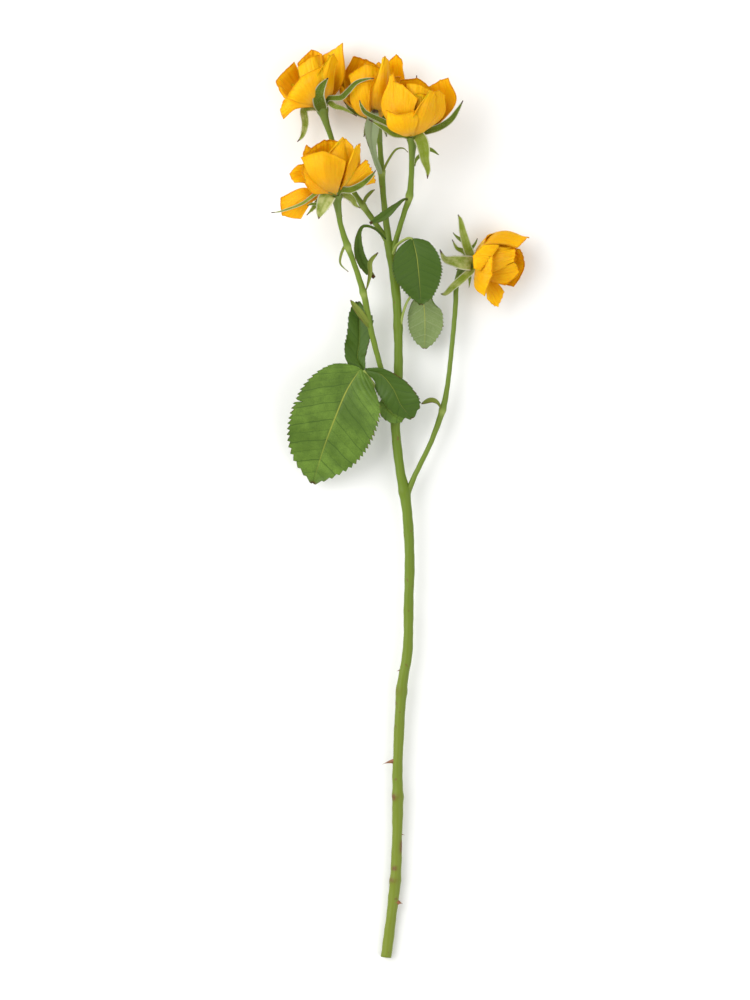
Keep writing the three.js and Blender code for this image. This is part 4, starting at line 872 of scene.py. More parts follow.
def laid_petal(petal, axis):
    """The surface of a petal laid out by its three routes, and 1 if that looks outwards, otherwise -1."""
    ahead, basis = np.array(axis, float), bloom_frame(axis)
    shown = [raised(petal[name], axis) for name in ("left", "middle", "right")]
    angle = math.radians(petal["turn"])
    heading = basis @ np.array([-math.sin(angle), math.cos(angle), 0])
    spread = math.copysign(FOOT_SPREAD, (shown[2][0] - shown[0][0]) @ heading)
    routes = []
    for side, points in zip([-1, 0, 1], shown):
        foot = turned(np.array([[FOOT_RADIUS, 0, FOOT_HEIGHT]]), petal["turn"] + spread * side)
        routes.append(np.vstack([foot @ basis.T, points]))
    rolls = petal.get("roll", [0, 0])

    def mixed(v, weights):
        return sum(on_route(route, v) * weight[:, None] for route, weight in zip(routes, weights))

    def shares(u, v):
        """A bow at the foot that turns half way into a fold towards the lip."""
        folded = 0.5 * smooth(v, 0.4, 1)
        straight = [np.maximum(-u, 0), 1 - np.abs(u), np.maximum(u, 0)]
        return [near + (far - near) * folded for near, far in zip(rounded(u), straight)]

    def surface(u, v):
        """Past a margin the petal rolls back, round a radius that is small at its foot and its lip."""
        edge = np.clip(u, -1, 1)
        at = mixed(v, shares(edge, v))
        past = np.abs(u) - 1
        if not any(rolls) or past.max() <= 0:
            return at
        sideways = unit(mixed(v, [edge - 0.5, -2 * edge, edge + 0.5]))
        above, below = np.minimum(v + 2 * STEP, 1), np.maximum(v - 2 * STEP, 0)
        up = mixed(above, shares(edge, above)) - mixed(below, shares(edge, below))
        outward = unit(np.cross(sideways, up)) * facing
        angle = np.radians(np.where(u < 0, rolls[0], rolls[1])) * np.maximum(past, 0)
        radius = ROLL_RADIUS * np.minimum(1, 3 * v) * (1 - 0.92 * smooth(v, 0.6, 1))
        out = (radius * (1 - np.cos(angle)))[:, None] * outward
        return at + (np.sign(u) * radius * np.sin(angle))[:, None] * sideways + out

    belly = on_route(routes[1], BELLY)[0]
    from_axis = belly - ahead * (belly @ ahead) / (ahead @ ahead)
    middle = np.array([0.0])
    plain = normals_of(lambda u, v: mixed(v, rounded(u)), middle, middle + BELLY)
    facing = math.copysign(1, plain[0] @ from_axis)
    return surface, facing


def lean_at(petal, t):
    """The angle from the axis at t along a petal, through its three given angles."""
    foot, middle, lip = petal["lean"]
    bend = foot - 2 * middle + lip
    curled = petal.get("curl", 0) * smooth(t, 0.7, 1)
    return np.radians(foot + (4 * middle - 3 * foot - lip) * t + 2 * bend * t * t + curled)


def wrapped_petal(petal):
    """The surface of a petal that wraps round its bloom's axis, in the bloom's frame."""
    cup, tuck, drop, peak = petal["cup"], petal["tuck"], petal["drop"], petal.get("peak", 0)
    roll, width = petal.get("roll", [0, 0]), petal_width(petal["half"])
    steps = 12

    def surface(u, v):
        s = v * petal["length"] * (1 - drop * np.abs(u) ** 2.2 + peak * bell(u, 0.17))
        out, height = np.full_like(s, FOOT_RADIUS), np.full_like(s, FOOT_HEIGHT)
        for i in range(steps):
            angle = lean_at(petal, (i + 0.5) / steps * s / petal["length"])
            out += np.sin(angle) * s / steps
            height += np.cos(angle) * s / steps
        angle = lean_at(petal, s / petal["length"])
        span, side = np.abs(u) * width(v), np.sign(u)
        sideways, inward = np.zeros_like(s), np.zeros_like(s)
        back = np.radians(np.where(u < 0, roll[0], roll[1])) * v**1.5
        for i in range(steps):
            part = (i + 0.5) / steps
            rolled = back * np.maximum(0, (part * np.abs(u) - 0.45) / 0.55) ** 1.5
            heading = part * span / (cup * (0.5 + 0.5 * v)) + side * math.radians(tuck) - rolled
            sideways += np.cos(heading) * span / steps
            inward += np.sin(heading) * span / steps
        points = [out - inward * np.cos(angle), side * sideways, height + inward * np.sin(angle)]
        return turned(np.column_stack(points), petal["turn"])

    return surface


def petal_width(half):
    """A petal is narrow at its foot, widest past the middle and a little narrower at the lip."""
    def width(v):
        swell = 0.2 + 0.8 * np.sin(math.pi / 2 * np.minimum(1, v / PETAL_WIDEST)) ** 0.9
        return half * swell * (1 - 0.35 * np.maximum(0, (v - PETAL_WIDEST) / (1 - PETAL_WIDEST)) ** 2)

    return width


def blade_width(half, widest, point):
    """A leaf blade swells from its foot to where it is widest and runs out to a point."""
    swell = point * widest / (1 - widest)

    def shape(v):
        return v**swell * (1 - v) ** point

    return lambda v: np.maximum(NARROW_TIP, half * shape(v) / shape(widest))


def outline(widths):
    """A blade's width to one side, from the widths at each tenth of its path. Its foot is rounded."""
    knots = np.column_stack([widths, widths])

    def width(v):
        along = on_route(knots, np.clip((v * 10 - 1) / 9, 0, 1))[:, 0]
        foot = widths[0] * np.sqrt(np.clip(v, 0, 1) * 10)
        return np.maximum(BROAD_TIP, np.where(v < 0.1, foot, along))

    return width


def softened(surface, facing, seed, sizes, petal, rounding):
    """A petal's surface with its own waves and creases, and a torn or rounded lip that rolls outwards."""
    draw = random.Random(seed)
    phase = [draw.uniform(0, 2 * math.pi) for _ in range(6)]
    lip = sizes.lip_roll / MM * draw.uniform(0.5, 1.2)
    wave = sizes.petal_wave / MM * draw.uniform(0.7, 1.3)
    crease = draw.uniform(0.1, 0.4)
    ridge, ragged = petal.get("ridge", 0), petal.get("ragged", 0.004)

    def soft(u, v):
        edge = np.clip(np.abs(u), 0, 1)
        torn = np.abs((u * 3.1 + phase[5]) % 1 - 0.5) + np.abs((u * 7.3 + phase[4]) % 1 - 0.5) * 0.6
        tip = 0.012 * bell(u, 0.12) - rounding * edge**6 - ragged * torn
        reach = v * (1 + tip * smooth(v, 0.6, 1))
        base = surface(u, reach)
        across = surface(u + 2 * STEP, reach) - surface(u - 2 * STEP, reach)
        along = surface(u, reach + STEP) - surface(u, np.maximum(reach - STEP, 0))
        out = unit(np.cross(across, along)) * facing
        # The margins wave along the petal, and its lip waves across.
        lift = wave * edge**3 * v * np.sin(7 * v + phase[0] + 1.5 * u)
        lift += 0.5 * wave * smooth(v, 0.55, 1) * np.sin(5.5 * u + phase[1])
        lift += 0.25 * wave * smooth(v, 0.75, 1) * np.sin(13 * u + phase[2])
        # Broad dents, then finer ones, then fine pleats.
        lift += 0.3 * np.sin(3 * u + phase[3]) * np.sin(4 * v + phase[4]) * v
        lift += 0.16 * np.sin(17 * u + 3 * v + phase[1]) * np.sin(9 * v + phase[0]) * v
        lift += 0.1 * np.sin(29 * u + phase[5]) * smooth(v, 0.2, 0.7)
        # A crease or a ridge up the middle, then the lip and the margins curl outwards.
        lift -= crease * bell(u, 0.1) * v
        lift += ridge * (1 - edge) * smooth(v, 0.1, 0.6)
        lift += lip * smooth(v, 0.88, 1) ** 2 + 0.4 * lip * smooth(edge, 0.85, 1) ** 2 * v
        return base + out * lift[:, None]

    return soft


def leaf_surface(blade, serration):
    """The surface of a blade: folded up at the midrib, waved, quilted between its veins and toothed."""
    path, face = np.array(blade["path"], float), unit(np.array(blade["face"], float))
    if "left" in blade:
        left, right = outline(blade["left"]), outline(blade["right"])
        broad = max(blade["left"])
    else:
        left = right = blade_width(blade["half"], blade["widest"], blade.get("point", 0.75))
        broad = blade["half"]
    teeth, fold, wave = blade.get("teeth", 0), math.radians(blade["fold"]), blade.get("wave", 0)
    torn = blade.get("torn")
    veins, quilting = blade.get("veins", 0), 0.015 * broad

    def surface(u, v):
        edge, forward = np.abs(u), np.clip(v, 0, 1)
        reach = u * np.where(u < 0, left(v), right(v))
        if teeth:
            tooth = (v * teeth) % 1
            fallen = (tooth - TOOTH_TIP) / (1 - TOOTH_TIP)
            cut = np.where(tooth < TOOTH_TIP, 1 - tooth / TOOTH_TIP, fallen)
            reach = reach * (1 - serration * cut * edge**5)
            forward = np.clip(v + 0.3 / teeth * (1 - cut) * edge**6, 0, 1)
        if torn:
            side_of, at, deep, wide = torn
            gap = np.maximum(0, 1 - np.abs(v - at) / wide) ** 0.7
            reach = reach * (1 - deep * gap * np.where(u * side_of > 0, edge**6, 0))
        along = unit(on_route(path, np.minimum(v + STEP, 1)) - on_route(path, np.maximum(v - STEP, 0)))
        side = unit(np.cross(along, face))
        over = np.cross(side, along)
        lift = np.abs(reach) * math.sin(fold) + wave * edge * np.sin(11 * v + 2.2 * u)
        if veins:
            quilt = np.abs(np.sin(math.pi * veins * (v - VEIN_RISE * edge * (1 - v * v))))
            lift += quilting * (quilt - 0.5) * np.sin(math.pi * np.minimum(edge, 1)) ** 0.7
        groove = 0.35 * bell(reach, 0.5) * min(1, broad / 6)
        flat = on_route(path, forward) + side * (reach * math.cos(fold))[:, None]
        return flat + over * (lift - groove)[:, None]

    return surface


def sepal_surface(sepal, axis, rim):
    """The surface of a sepal along its path from inside the rim of the cup, with a keel up its middle."""
    ahead, points = unit(np.array(axis, float)), raised(sepal["path"], axis)
    root = unit(points[0] - ahead * (points[0] @ ahead)) * SEPAL_ROOT - ahead
    path = np.vstack([root, points]) + rim
    blade = leaf_surface(dict(sepal, path=path, face=[0, 0, 1], fold=8, point=1), 0)

    def surface(u, v):
        keel = 0.25 * bell(u, 0.25) * (1 - v)
        return blade(u, v) + np.array([0, 0, 1]) * keel[:, None]

    return surface


# Mesh making

class Maker:
    """Builds one piece: sheets, tubes and hairs go into one mesh, with the numbers that its finish reads."""

    def __init__(self):
        self.bm = bmesh.new()
        self.bm.loops.layers.uv.new("along")
        self.tone = self.bm.verts.layers.float.new("tone")
        self.scar = self.bm.verts.layers.float.new("scar")
        self.turn = self.bm.verts.layers.float.new("turn")
        self.veins = self.bm.verts.layers.float.new("veins")
        self.order = self.bm.verts.layers.int.new("order")

    def sheet(self, surface, columns, rows, thick, tone, span=(-1, 1), sides=(0, 1), flip=False, veins=0):
        """Lays a grid on a surface and gives it a thickness.

        sides are the materials of its front and back, and span is how far it runs across."""
        grid = bmesh.ops.create_grid(
            self.bm, x_segments=columns, y_segments=rows, size=1, calc_uvs=True,
        )["verts"]
        spot = np.array([vert.co[:] for vert in grid])
        u = span[0] + (spot[:, 0] + 1) / 2 * (span[1] - span[0])
        v = (spot[:, 1] + 1) / 2
        for vert, point in zip(grid, surface(u, v)):
            vert.co = point * MM
            vert[self.tone] = tone
            vert[self.veins] = veins
        faces = list({face for vert in grid for face in vert.link_faces})
        if flip:
            bmesh.ops.reverse_faces(self.bm, faces=faces)
        for face in faces:
            face.material_index = sides[0]
            face.normal_update()
        offsets = []
        for i, vert in enumerate(grid):
            vert.normal_update()
            vert[self.order] = i
            offsets.append(vert.normal * (thick / 2 * MM))
        shell = bmesh.ops.extrude_face_region(self.bm, geom=faces, use_keep_orig=True)["geom"]
        for part in shell:
            if isinstance(part, bmesh.types.BMVert):
                part.co -= offsets[part[self.order]]
            elif isinstance(part, bmesh.types.BMFace):
                part.material_index = sides[1]
                faces.append(part)
        for vert, offset in zip(grid, offsets):
            vert.co += offset
        bmesh.ops.recalc_face_normals(self.bm, faces=faces)

    def tube(self, route, sides, step, tone=0.5, swell=None, scar=None, material=0, end_material=None):
        """Grows a round stalk along a route of x, y, z and radius, ring by ring.

        swell and scar are read at each ring's y and turn, and so is tone, unless it is one number."""
        length = np.linalg.norm(np.diff(np.array(route)[:, :3], axis=0), axis=1).sum()
        t = np.linspace(0, 1, max(3, round(length / step)))
        rings = on_route(route, t)
        along = unit(np.gradient(rings[:, :3], axis=0))
        up = unit(np.array([0, 0, 1.0]) - along * along[:, 2:])
        side = np.cross(along, up)
        circle = bmesh.ops.create_circle(self.bm, cap_ends=True, segments=sides, radius=1)["verts"]
        faces = list({face for vert in circle for face in vert.link_faces})
        edges = list({edge for vert in circle for edge in vert.link_edges})
        for vert in circle:
            vert[self.turn] = math.atan2(vert.co.y, vert.co.x)
        ring = circle
        for i in range(len(t)):
            if i:
                grown = bmesh.ops.extrude_edge_only(self.bm, edges=edges)["geom"]
                ring = [part for part in grown if isinstance(part, bmesh.types.BMVert)]
                edges = [part for part in grown if isinstance(part, bmesh.types.BMEdge)]
                faces += [part for part in grown if isinstance(part, bmesh.types.BMFace)]
            for vert in ring:
                turn = vert[self.turn]
                radius = rings[i, 3] + (swell(rings[i, 1], turn) if swell else 0)
                out = side[i] * math.cos(turn) + up[i] * math.sin(turn)
                vert.co = (rings[i, :3] + out * radius) * MM
                vert[self.tone] = tone(rings[i, 1], turn) if callable(tone) else tone
                vert[self.scar] = scar(rings[i, 1], turn) if scar else 0
        caps = [faces[0], *bmesh.ops.contextual_create(self.bm, geom=edges)["faces"]]
        faces.append(caps[1])
        bmesh.ops.recalc_face_normals(self.bm, faces=faces)
        for face in faces:
            face.material_index = material
        if end_material is not None:
            bmesh.ops.inset_region(self.bm, faces=caps[:1], thickness=rings[0, 3] * CUT_RIM * MM, depth=0)
            caps[0].material_index = end_material

    def hair(self, point, way, length, thick, material):
        """A fine hair: a narrow cone with three sides, rooted at a point."""
        turn = Vector(way).to_track_quat("Z", "Y").to_matrix().to_4x4()
        place = Matrix.Translation(Vector(point) * MM) @ turn
        made = bmesh.ops.create_cone(
            self.bm, cap_ends=True, segments=3, radius1=thick * MM, radius2=0, depth=length * MM,
            matrix=place @ Matrix.Translation((0, 0, length / 2 * MM)),
        )["verts"]
        for face in {face for vert in made for face in vert.link_faces}:
            face.material_index = material

    def finish(self, name, materials, slot, *nodes):
        """Puts the mesh into the scene as a piece that stands for its nodes of the part.

        Nothing of it reaches below the floor."""
        for vert in self.bm.verts:
            vert.co.z = max(vert.co.z, 0)
        mesh = bpy.data.meshes.new(name)
        self.bm.to_mesh(mesh)
        self.bm.free()
        mesh.shade_smooth()
        for material in materials:
            mesh.materials.append(material)
        piece = placed(name, mesh)
        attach(piece, "root")
        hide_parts(*nodes)


def placed(name, data):
    """Adds an object to the scene."""
    made = bpy.data.objects.new(name, data)
    bpy.context.scene.collection.objects.link(made)
    return made


# Finishes

def shade(code):
    """A colour given as red, green and blue in hexadecimal, as a surface shows it in daylight."""
    return Color(int(code[i:i + 2], 16) / 255 for i in (0, 2, 4)).from_srgb_to_scene_linear()


def node(tree, kind, inputs=None, **properties):
    """Adds a shader node, sets its properties, and sets or links its inputs."""
    made = tree.nodes.new(kind)
    for name, value in properties.items():
        setattr(made, name, value)
    for socket, value in (inputs or {}).items():
        if isinstance(value, bpy.types.NodeSocket):
            tree.links.new(value, made.inputs[socket])
        else:
            made.inputs[socket].default_value = value
    return made


def maths(tree, operation, *values):
    """The result of a sum on numbers or sockets."""
    return node(tree, "ShaderNodeMath", dict(enumerate(values)), operation=operation).outputs[0]


def from_half(tree, value):
    """How far the fraction of a value is from a half."""
    return maths(tree, "ABSOLUTE", maths(tree, "SUBTRACT", maths(tree, "FRACT", value), 0.5))


def ranged(tree, value, low, high, to_low=0.0, to_high=1.0):
    """A value brought smoothly from one range to another."""
    inputs = {0: value, 1: low, 2: high, 3: to_low, 4: to_high}
    return node(tree, "ShaderNodeMapRange", inputs, interpolation_type="SMOOTHSTEP").outputs[0]


def layered(tree, colour, *layers):
    """A colour with others laid over it in turn, each by its own factor."""
    below = (*colour, 1)
    for factor, over in layers:
        inputs = {0: factor, 6: below, 7: (*over, 1)}
        below = node(tree, "ShaderNodeMix", inputs, data_type="RGBA").outputs[2]
    return below


def speckle(tree, vector, scale, detail, roughness=0.5):
    """Noise from 0 to 1 at a scale in features per unit of its vector."""
    inputs = {"Vector": vector, "Scale": scale, "Detail": detail, "Roughness": roughness}
    return node(tree, "ShaderNodeTexNoise", inputs).outputs[0]


def stretched(tree, vector, scale):
    """Coordinates stretched by a scale for each axis."""
    return node(tree, "ShaderNodeMapping", {"Vector": vector, "Scale": scale}).outputs[0]


def attribute(tree, name):
    """A number that the mesh carries at its points."""
    return node(tree, "ShaderNodeAttribute", attribute_name=name).outputs["Fac"]


def place_of(tree):
    """The place on the piece, in metres."""
    return node(tree, "ShaderNodeTexCoord").outputs["Object"]


def along_piece(tree):
    """Across and along a petal or blade, both from 0 to 1, and how near a point is to a margin."""
    spot = node(tree, "ShaderNodeUVMap", uv_map="along").outputs[0]
    across, along, _ = node(tree, "ShaderNodeSeparateXYZ", {0: spot}).outputs
    edge = maths(tree, "ABSOLUTE", maths(tree, "MULTIPLY_ADD", across, 2.0, -1.0))
    return across, along, edge


def new_material(name, roughness, **sockets):
    """A material with its shader, on which whole-surface numbers are set."""
    material = bpy.data.materials.new(name)
    material.use_nodes = True
    shader = material.node_tree.nodes["Principled BSDF"]
    shader.inputs["Roughness"].default_value = roughness
    for socket, value in sockets.items():
        shader.inputs[socket.replace("_", " ")].default_value = value
    return material, material.node_tree, shader


def bumped(tree, shader, height, strength, distance):
    """Raises the surface by a height, in a distance of metres."""
    bump = node(tree, "ShaderNodeBump", {"Height": height, "Strength": strength, "Distance": distance})
    tree.links.new(bump.outputs[0], shader.inputs["Normal"])


def petal_material(name, colours, foot, glow):
    """A petal: deep at its foot, lighter at its lip, with fine veins that fan out and a darker margin."""
    material, tree, shader = new_material(
        name, 0.5, Subsurface_Weight=glow, Subsurface_Radius=(1.0, 0.45, 0.02), Subsurface_Scale=0.0012,
        Specular_IOR_Level=0.14,
    )
    across, along, edge = along_piece(tree)
    tone = attribute(tree, "tone")
    here = place_of(tree)
    drawn_out = maths(tree, "MULTIPLY", along, 0.07)
    fan = node(tree, "ShaderNodeCombineXYZ", {0: across, 1: drawn_out, 2: tone}).outputs[0]
    veins = speckle(tree, fan, 55.0, 2.0, 0.6)
    fine = speckle(tree, fan, 160.0, 1.0)
    patches = speckle(tree, here, 170.0, 3.0)
    blush = speckle(tree, here, 60.0, 2.0)
    margin = maths(tree, "MAXIMUM", ranged(tree, edge, 0.965, 1.0), ranged(tree, along, 0.98, 1.0))
    # Outside, the peach foot colour is partly its own and partly painted glow of light through the petal.
    colour = layered(
        tree, foot,
        (ranged(tree, along, 0.12, 0.6), colours.petal),
        (ranged(tree, along, 0.6, 1.0, 0.0, 0.8), colours.petal_lip),
        (ranged(tree, tone, 0.0, 1.0, 0.0, 0.25), colours.petal_edge),
        (ranged(tree, patches, 0.5, 0.75, 0.0, 0.3), foot),
        (ranged(tree, blush, 0.5, 0.75, 0.0, 0.3), colours.petal_lip),
        (ranged(tree, veins, 0.48, 0.7, 0.0, 0.35), colours.petal_edge),
        (maths(tree, "MULTIPLY", margin, 0.8), colours.petal_edge),
    )
    tree.links.new(colour, shader.inputs["Base Color"])
    tree.links.new(ranged(tree, patches, 0.3, 0.8, 0.48, 0.65), shader.inputs["Roughness"])
    bumped(tree, shader, maths(tree, "ADD", veins, maths(tree, "MULTIPLY", fine, 0.4)), 0.5, 0.00012)
    return material


def leaf_material(name, body, deep, midrib_colour, vein, gloss, relief, tip_from=0.975):
    """A leaf's face: its midrib, side veins that run to the teeth, a fine net, and brown tooth tips."""
    material, tree, shader = new_material(name, gloss, Specular_IOR_Level=0.22)
    across, along, edge = along_piece(tree)
    here = place_of(tree)
    squared = maths(tree, "MULTIPLY", along, along)
    rise = maths(tree, "MULTIPLY", edge, maths(tree, "SUBTRACT", 1.0, squared))
    bent = maths(tree, "MULTIPLY_ADD", speckle(tree, here, 70.0, 2.0), 0.06, along)
    started = maths(tree, "MULTIPLY_ADD", rise, -VEIN_RISE, maths(tree, "SUBTRACT", bent, 0.03))
    counted = maths(tree, "MULTIPLY", started, attribute(tree, "veins"))
    every_vein = from_half(tree, counted)
    every_other = from_half(tree, maths(tree, "MULTIPLY", counted, 0.5))
    minor_vein = maths(tree, "MULTIPLY", ranged(tree, every_vein, 0.43, 0.49), 0.55)
    side_vein = maths(tree, "MAXIMUM", minor_vein, ranged(tree, every_other, 0.46, 0.49))
    midrib = ranged(tree, edge, 0.0, 0.026, 1.0, 0.0)
    cells = node(
        tree, "ShaderNodeTexVoronoi", {"Vector": here, "Scale": 1100.0}, feature="DISTANCE_TO_EDGE",
    ).outputs["Distance"]
    net = maths(tree, "MULTIPLY", ranged(tree, cells, 0.0, 0.12, 1.0, 0.0), 0.35)
    cloud = speckle(tree, here, 80.0, 4.0)
    streak = speckle(tree, stretched(tree, here, (1.0, 1.0, 0.2)), 260.0, 2.0)
    burnt = speckle(tree, here, 420.0, 1.0)
    margin = maths(tree, "MULTIPLY", ranged(tree, edge, 0.965, 1.0), ranged(tree, burnt, 0.42, 0.6))
    tip = ranged(tree, along, tip_from, min(tip_from + 0.03, 1.0))
    colour = layered(
        tree, deep,
        (ranged(tree, cloud, 0.27, 0.73, 0.2, 0.8), body),
        (ranged(tree, streak, 0.45, 0.75, 0.0, 0.35), deep),
        (attribute(tree, "tone"), deep),
        (net, vein),
        (maths(tree, "MULTIPLY", side_vein, 0.6), vein),
        (maths(tree, "MULTIPLY", midrib, ranged(tree, along, 0.1, 1.0, 0.95, 0.4)), midrib_colour),
        (maths(tree, "MULTIPLY", margin, 0.7), shade(TOOTH_BROWN)),
        (maths(tree, "MULTIPLY", tip, 0.85), shade(LEAF_TIP_BROWN)),
    )
    tree.links.new(colour, shader.inputs["Base Color"])
    tree.links.new(ranged(tree, cloud, 0.2, 0.8, gloss - 0.08, gloss + 0.1), shader.inputs["Roughness"])
    height = maths(tree, "ADD", maths(tree, "MAXIMUM", midrib, side_vein), net)
    bumped(tree, shader, height, relief, 0.0002)
    return material


def sepal_material(name, body, deep, pale, dark):
    """A sepal's face: clouded, with a keel, a pale woolly margin and a dark tip."""
    material, tree, shader = new_material(name, 0.65, Specular_IOR_Level=0.12)
    across, along, edge = along_piece(tree)
    here = place_of(tree)
    cloud = speckle(tree, here, 230.0, 4.0, 0.6)
    grain = speckle(tree, here, 2600.0, 1.0)
    colour = layered(
        tree, deep,
        (ranged(tree, cloud, 0.35, 0.7), body),
        (maths(tree, "MULTIPLY", attribute(tree, "tone"), 0.8), deep),
        (ranged(tree, edge, 0.0, 0.3, 0.45, 0.0), deep),
        (ranged(tree, edge, 0.78, 0.97, 0.0, 0.85), pale),
        (ranged(tree, along, 0.9, 0.96), dark),
        (ranged(tree, grain, 0.55, 0.75, 0.0, 0.2), pale),
    )
    tree.links.new(colour, shader.inputs["Base Color"])
    bumped(tree, shader, maths(tree, "ADD", cloud, maths(tree, "MULTIPLY", grain, 0.5)), 0.35, 0.00015)
    return material


def stem_material(name, colours):
    """The stem's skin: bright green at the cut end, darker above, with fine streaks and brown scars."""
    material, tree, shader = new_material(name, 0.45, Specular_IOR_Level=0.25)
    here = place_of(tree)
    low, high = colours.stem_low, colours.stem_high
    up_stem = node(tree, "ShaderNodeSeparateXYZ", {0: here}).outputs[1]
    streaks = speckle(tree, stretched(tree, here, (1.0, 0.04, 1.0)), 1500.0, 3.0, 0.6)
    clouds = speckle(tree, stretched(tree, here, (1.0, 0.3, 1.0)), 160.0, 3.0)
    lumps = speckle(tree, here, 900.0, 2.0)
    specks = speckle(tree, here, 420.0, 1.0, 0.3)
    rise = maths(tree, "MULTIPLY_ADD", clouds, 0.06, up_stem)
    scar = maths(tree, "MULTIPLY", attribute(tree, "scar"), ranged(tree, lumps, 0.25, 0.55, 0.5, 1.0))
    colour = layered(
        tree, low,
        (ranged(tree, rise, -0.21, 0.08), high),
        (ranged(tree, streaks, 0.45, 0.75, 0.0, 0.35), low),
        (ranged(tree, clouds, 0.5, 0.8, 0.0, 0.3), high),
        (ranged(tree, specks, 0.7, 0.76, 0.0, 0.55), colours.scar),
        (attribute(tree, "tone"), shade(KNUCKLE_GREEN)),
        (scar, colours.scar),
    )
    tree.links.new(colour, shader.inputs["Base Color"])
    tree.links.new(ranged(tree, streaks, 0.3, 0.8, 0.36, 0.52), shader.inputs["Roughness"])
    bumped(tree, shader, maths(tree, "ADD", streaks, maths(tree, "MULTIPLY", lumps, 0.4)), 0.3, 0.00015)
    return material


def plain_material(name, first, second, scale, roughness):
    """Two near colours in fine patches, for green cups, hairs, prickles, pith and the floor."""
    material, tree, shader = new_material(name, roughness)
    patches = speckle(tree, place_of(tree), scale, 3.0)
    colour = layered(tree, first, (ranged(tree, patches, 0.3, 0.7), second))
    tree.links.new(colour, shader.inputs["Base Color"])
    bumped(tree, shader, patches, 0.15, 0.0001)
    return material


# What a user would change

def colour_property(name, code, description):
    """A colour that can be picked in the panel."""
    return bpy.props.FloatVectorProperty(
        name=name, description=description, subtype="COLOR", default=shade(code)[:], size=3, min=0, max=1,
    )


def length_property(name, millimetres, description):
    """A length of up to 5 mm that can be changed in the panel."""
    return bpy.props.FloatProperty(
        name=name, description=description, unit="LENGTH",
        default=millimetres * MM, min=0, max=5 * MM, precision=5,
    )


def count_property(name, default, description):
    """A number of faces that can be changed in the panel."""
    return bpy.props.IntProperty(name=name, description=description, default=default, min=4)


class RoseSizes(bpy.types.PropertyGroup):
    """Sizes that the finished pieces share."""
    petal_thickness: length_property("Petal thickness", 0.45, "How thick each petal is")
    leaf_thickness: length_property("Leaf thickness", 0.5, "How thick each leaf and sepal is")
    petal_wave: length_property("Petal wave", 0.45, "How far the margins of a petal wave")
    lip_roll: length_property("Lip roll", 0.7, "How far the lip of a petal rolls outwards")
    serration: bpy.props.FloatProperty(
        name="Serration", description="How deep the leaf teeth are cut, as a share of the half width",
        subtype="FACTOR", default=0.07, min=0, max=0.3,
    )
    petal_columns: count_property("Petal columns", 30, "Faces across a petal")
    petal_rows: count_property("Petal rows", 34, "Faces along a petal")


class RoseColours(bpy.types.PropertyGroup):
    """Colours of the finished pieces, as they look in daylight."""
    petal: colour_property("Petal", "e3a800", "The middle of a petal")
    # The peach foot is partly the petal's own colour and partly painted glow of light through it.
    petal_foot_and_glow: colour_property("Petal foot", "e7ad42", "A petal towards its foot")
    petal_lip: colour_property("Petal lip", "efb900", "A petal towards its lip")
    petal_deep: colour_property("Petal, deep", "d79900", "The inside of a petal towards its foot")
    petal_edge: colour_property("Petal edge", "c98500", "The thin margin and the veins of a petal")
    leaf: colour_property("Leaf", "6f8e32", "A leaf's upper side")
    leaf_deep: colour_property("Leaf, deep", "3d5714", "The darker parts of a leaf's upper side")
    leaf_vein: colour_property("Leaf vein", "2f4a12", "The side veins and the net of a leaf's upper side")
    midrib: colour_property("Midrib", "a2a544", "The midrib and the leaf's stalk")
    underside: colour_property("Underside", "7c8d56", "A leaf's lower side")
    underside_deep: colour_property("Underside, deep", "687b44", "Darker parts of a leaf's lower side")
    sepal: colour_property("Sepal", "6d7d18", "The outside of a sepal")
    sepal_deep: colour_property("Sepal, deep", "516210", "The darker parts of a sepal's outside")
    sepal_lining: colour_property("Sepal, lining", "aaad6c", "The inside of a sepal")
    sepal_margin: colour_property("Sepal, margin", "ccccae", "The woolly margins of sepals")
    stem_low: colour_property("Stem, low", "717f24", "The stem near the cut end")
    stem_high: colour_property("Stem, high", "5f761b", "The stem among the blooms")
    hip: colour_property("Green cup", "66781f", "The green cup under the petals")
    scar: colour_property("Scar", "6a4526", "Scars at the rings of the stem")


class RoseStage(bpy.types.PropertyGroup):
    """The floor, the lights and the camera."""
    floor: colour_property("Floor", "f4f4f2", "The floor's colour")
    key_light: bpy.props.FloatProperty(
        name="Key light", description="Power of the large soft light", unit="POWER", default=36.5,
    )
    fill_light: bpy.props.FloatProperty(
        name="Fill light", description="Power of the second soft light", unit="POWER", default=10,
    )
    sky: bpy.props.FloatProperty(
        name="Surround", description="Brightness of the pale surround", default=0.68, min=0,
    )
    lens: bpy.props.FloatProperty(
        name="Lens", description="Focal length on a 36 mm sensor", subtype="DISTANCE_CAMERA",
        default=400, min=20,
    )
    view_height: bpy.props.FloatProperty(
        name="View height", description="Length of floor that the picture's long side takes in",
        unit="LENGTH", default=0.5,
    )


# Pieces

class ROSE_OT_stem(bpy.types.Operator):
    """Build the branched stem with its rings, prickles and cut end"""
    bl_idname = "rose.stem"
    bl_label = "Stem"

    def execute(self, context):
        colours = context.scene.rose_colours
        maker = Maker()
        maker.tube(
            MAIN_STEM, sides=20, step=1.2, tone=0.0, swell=ring_swell, scar=scar_at,
            end_material=PITH_PLACE,
        )
        for route, knuckles in zip(STALKS, KNUCKLES):
            def near(y):
                return sum(bell(y - knuckle, KNUCKLE_WIDTH) for knuckle in knuckles)

            maker.tube(
                route, sides=14, step=0.8, tone=lambda y, turn: 0.05 + 0.4 * near(y + 1.2),
                swell=lambda y, turn: 0.4 * near(y) + 0.04 * math.sin(0.9 * y + turn),
            )
        for prickle in PRICKLES:
            maker.tube(prickle_route(**prickle), sides=10, step=0.25, material=HORN_PLACE)
        maker.finish(
            "stem_skin",
            [
                stem_material("stem_skin", colours),
                plain_material("prickle_horn", *map(shade, HORN), 900.0, 0.4),
                plain_material("cut_pith", *map(shade, PITH), 1800.0, 0.8),
            ],
            "stem", "stem",
        )
        return {"FINISHED"}


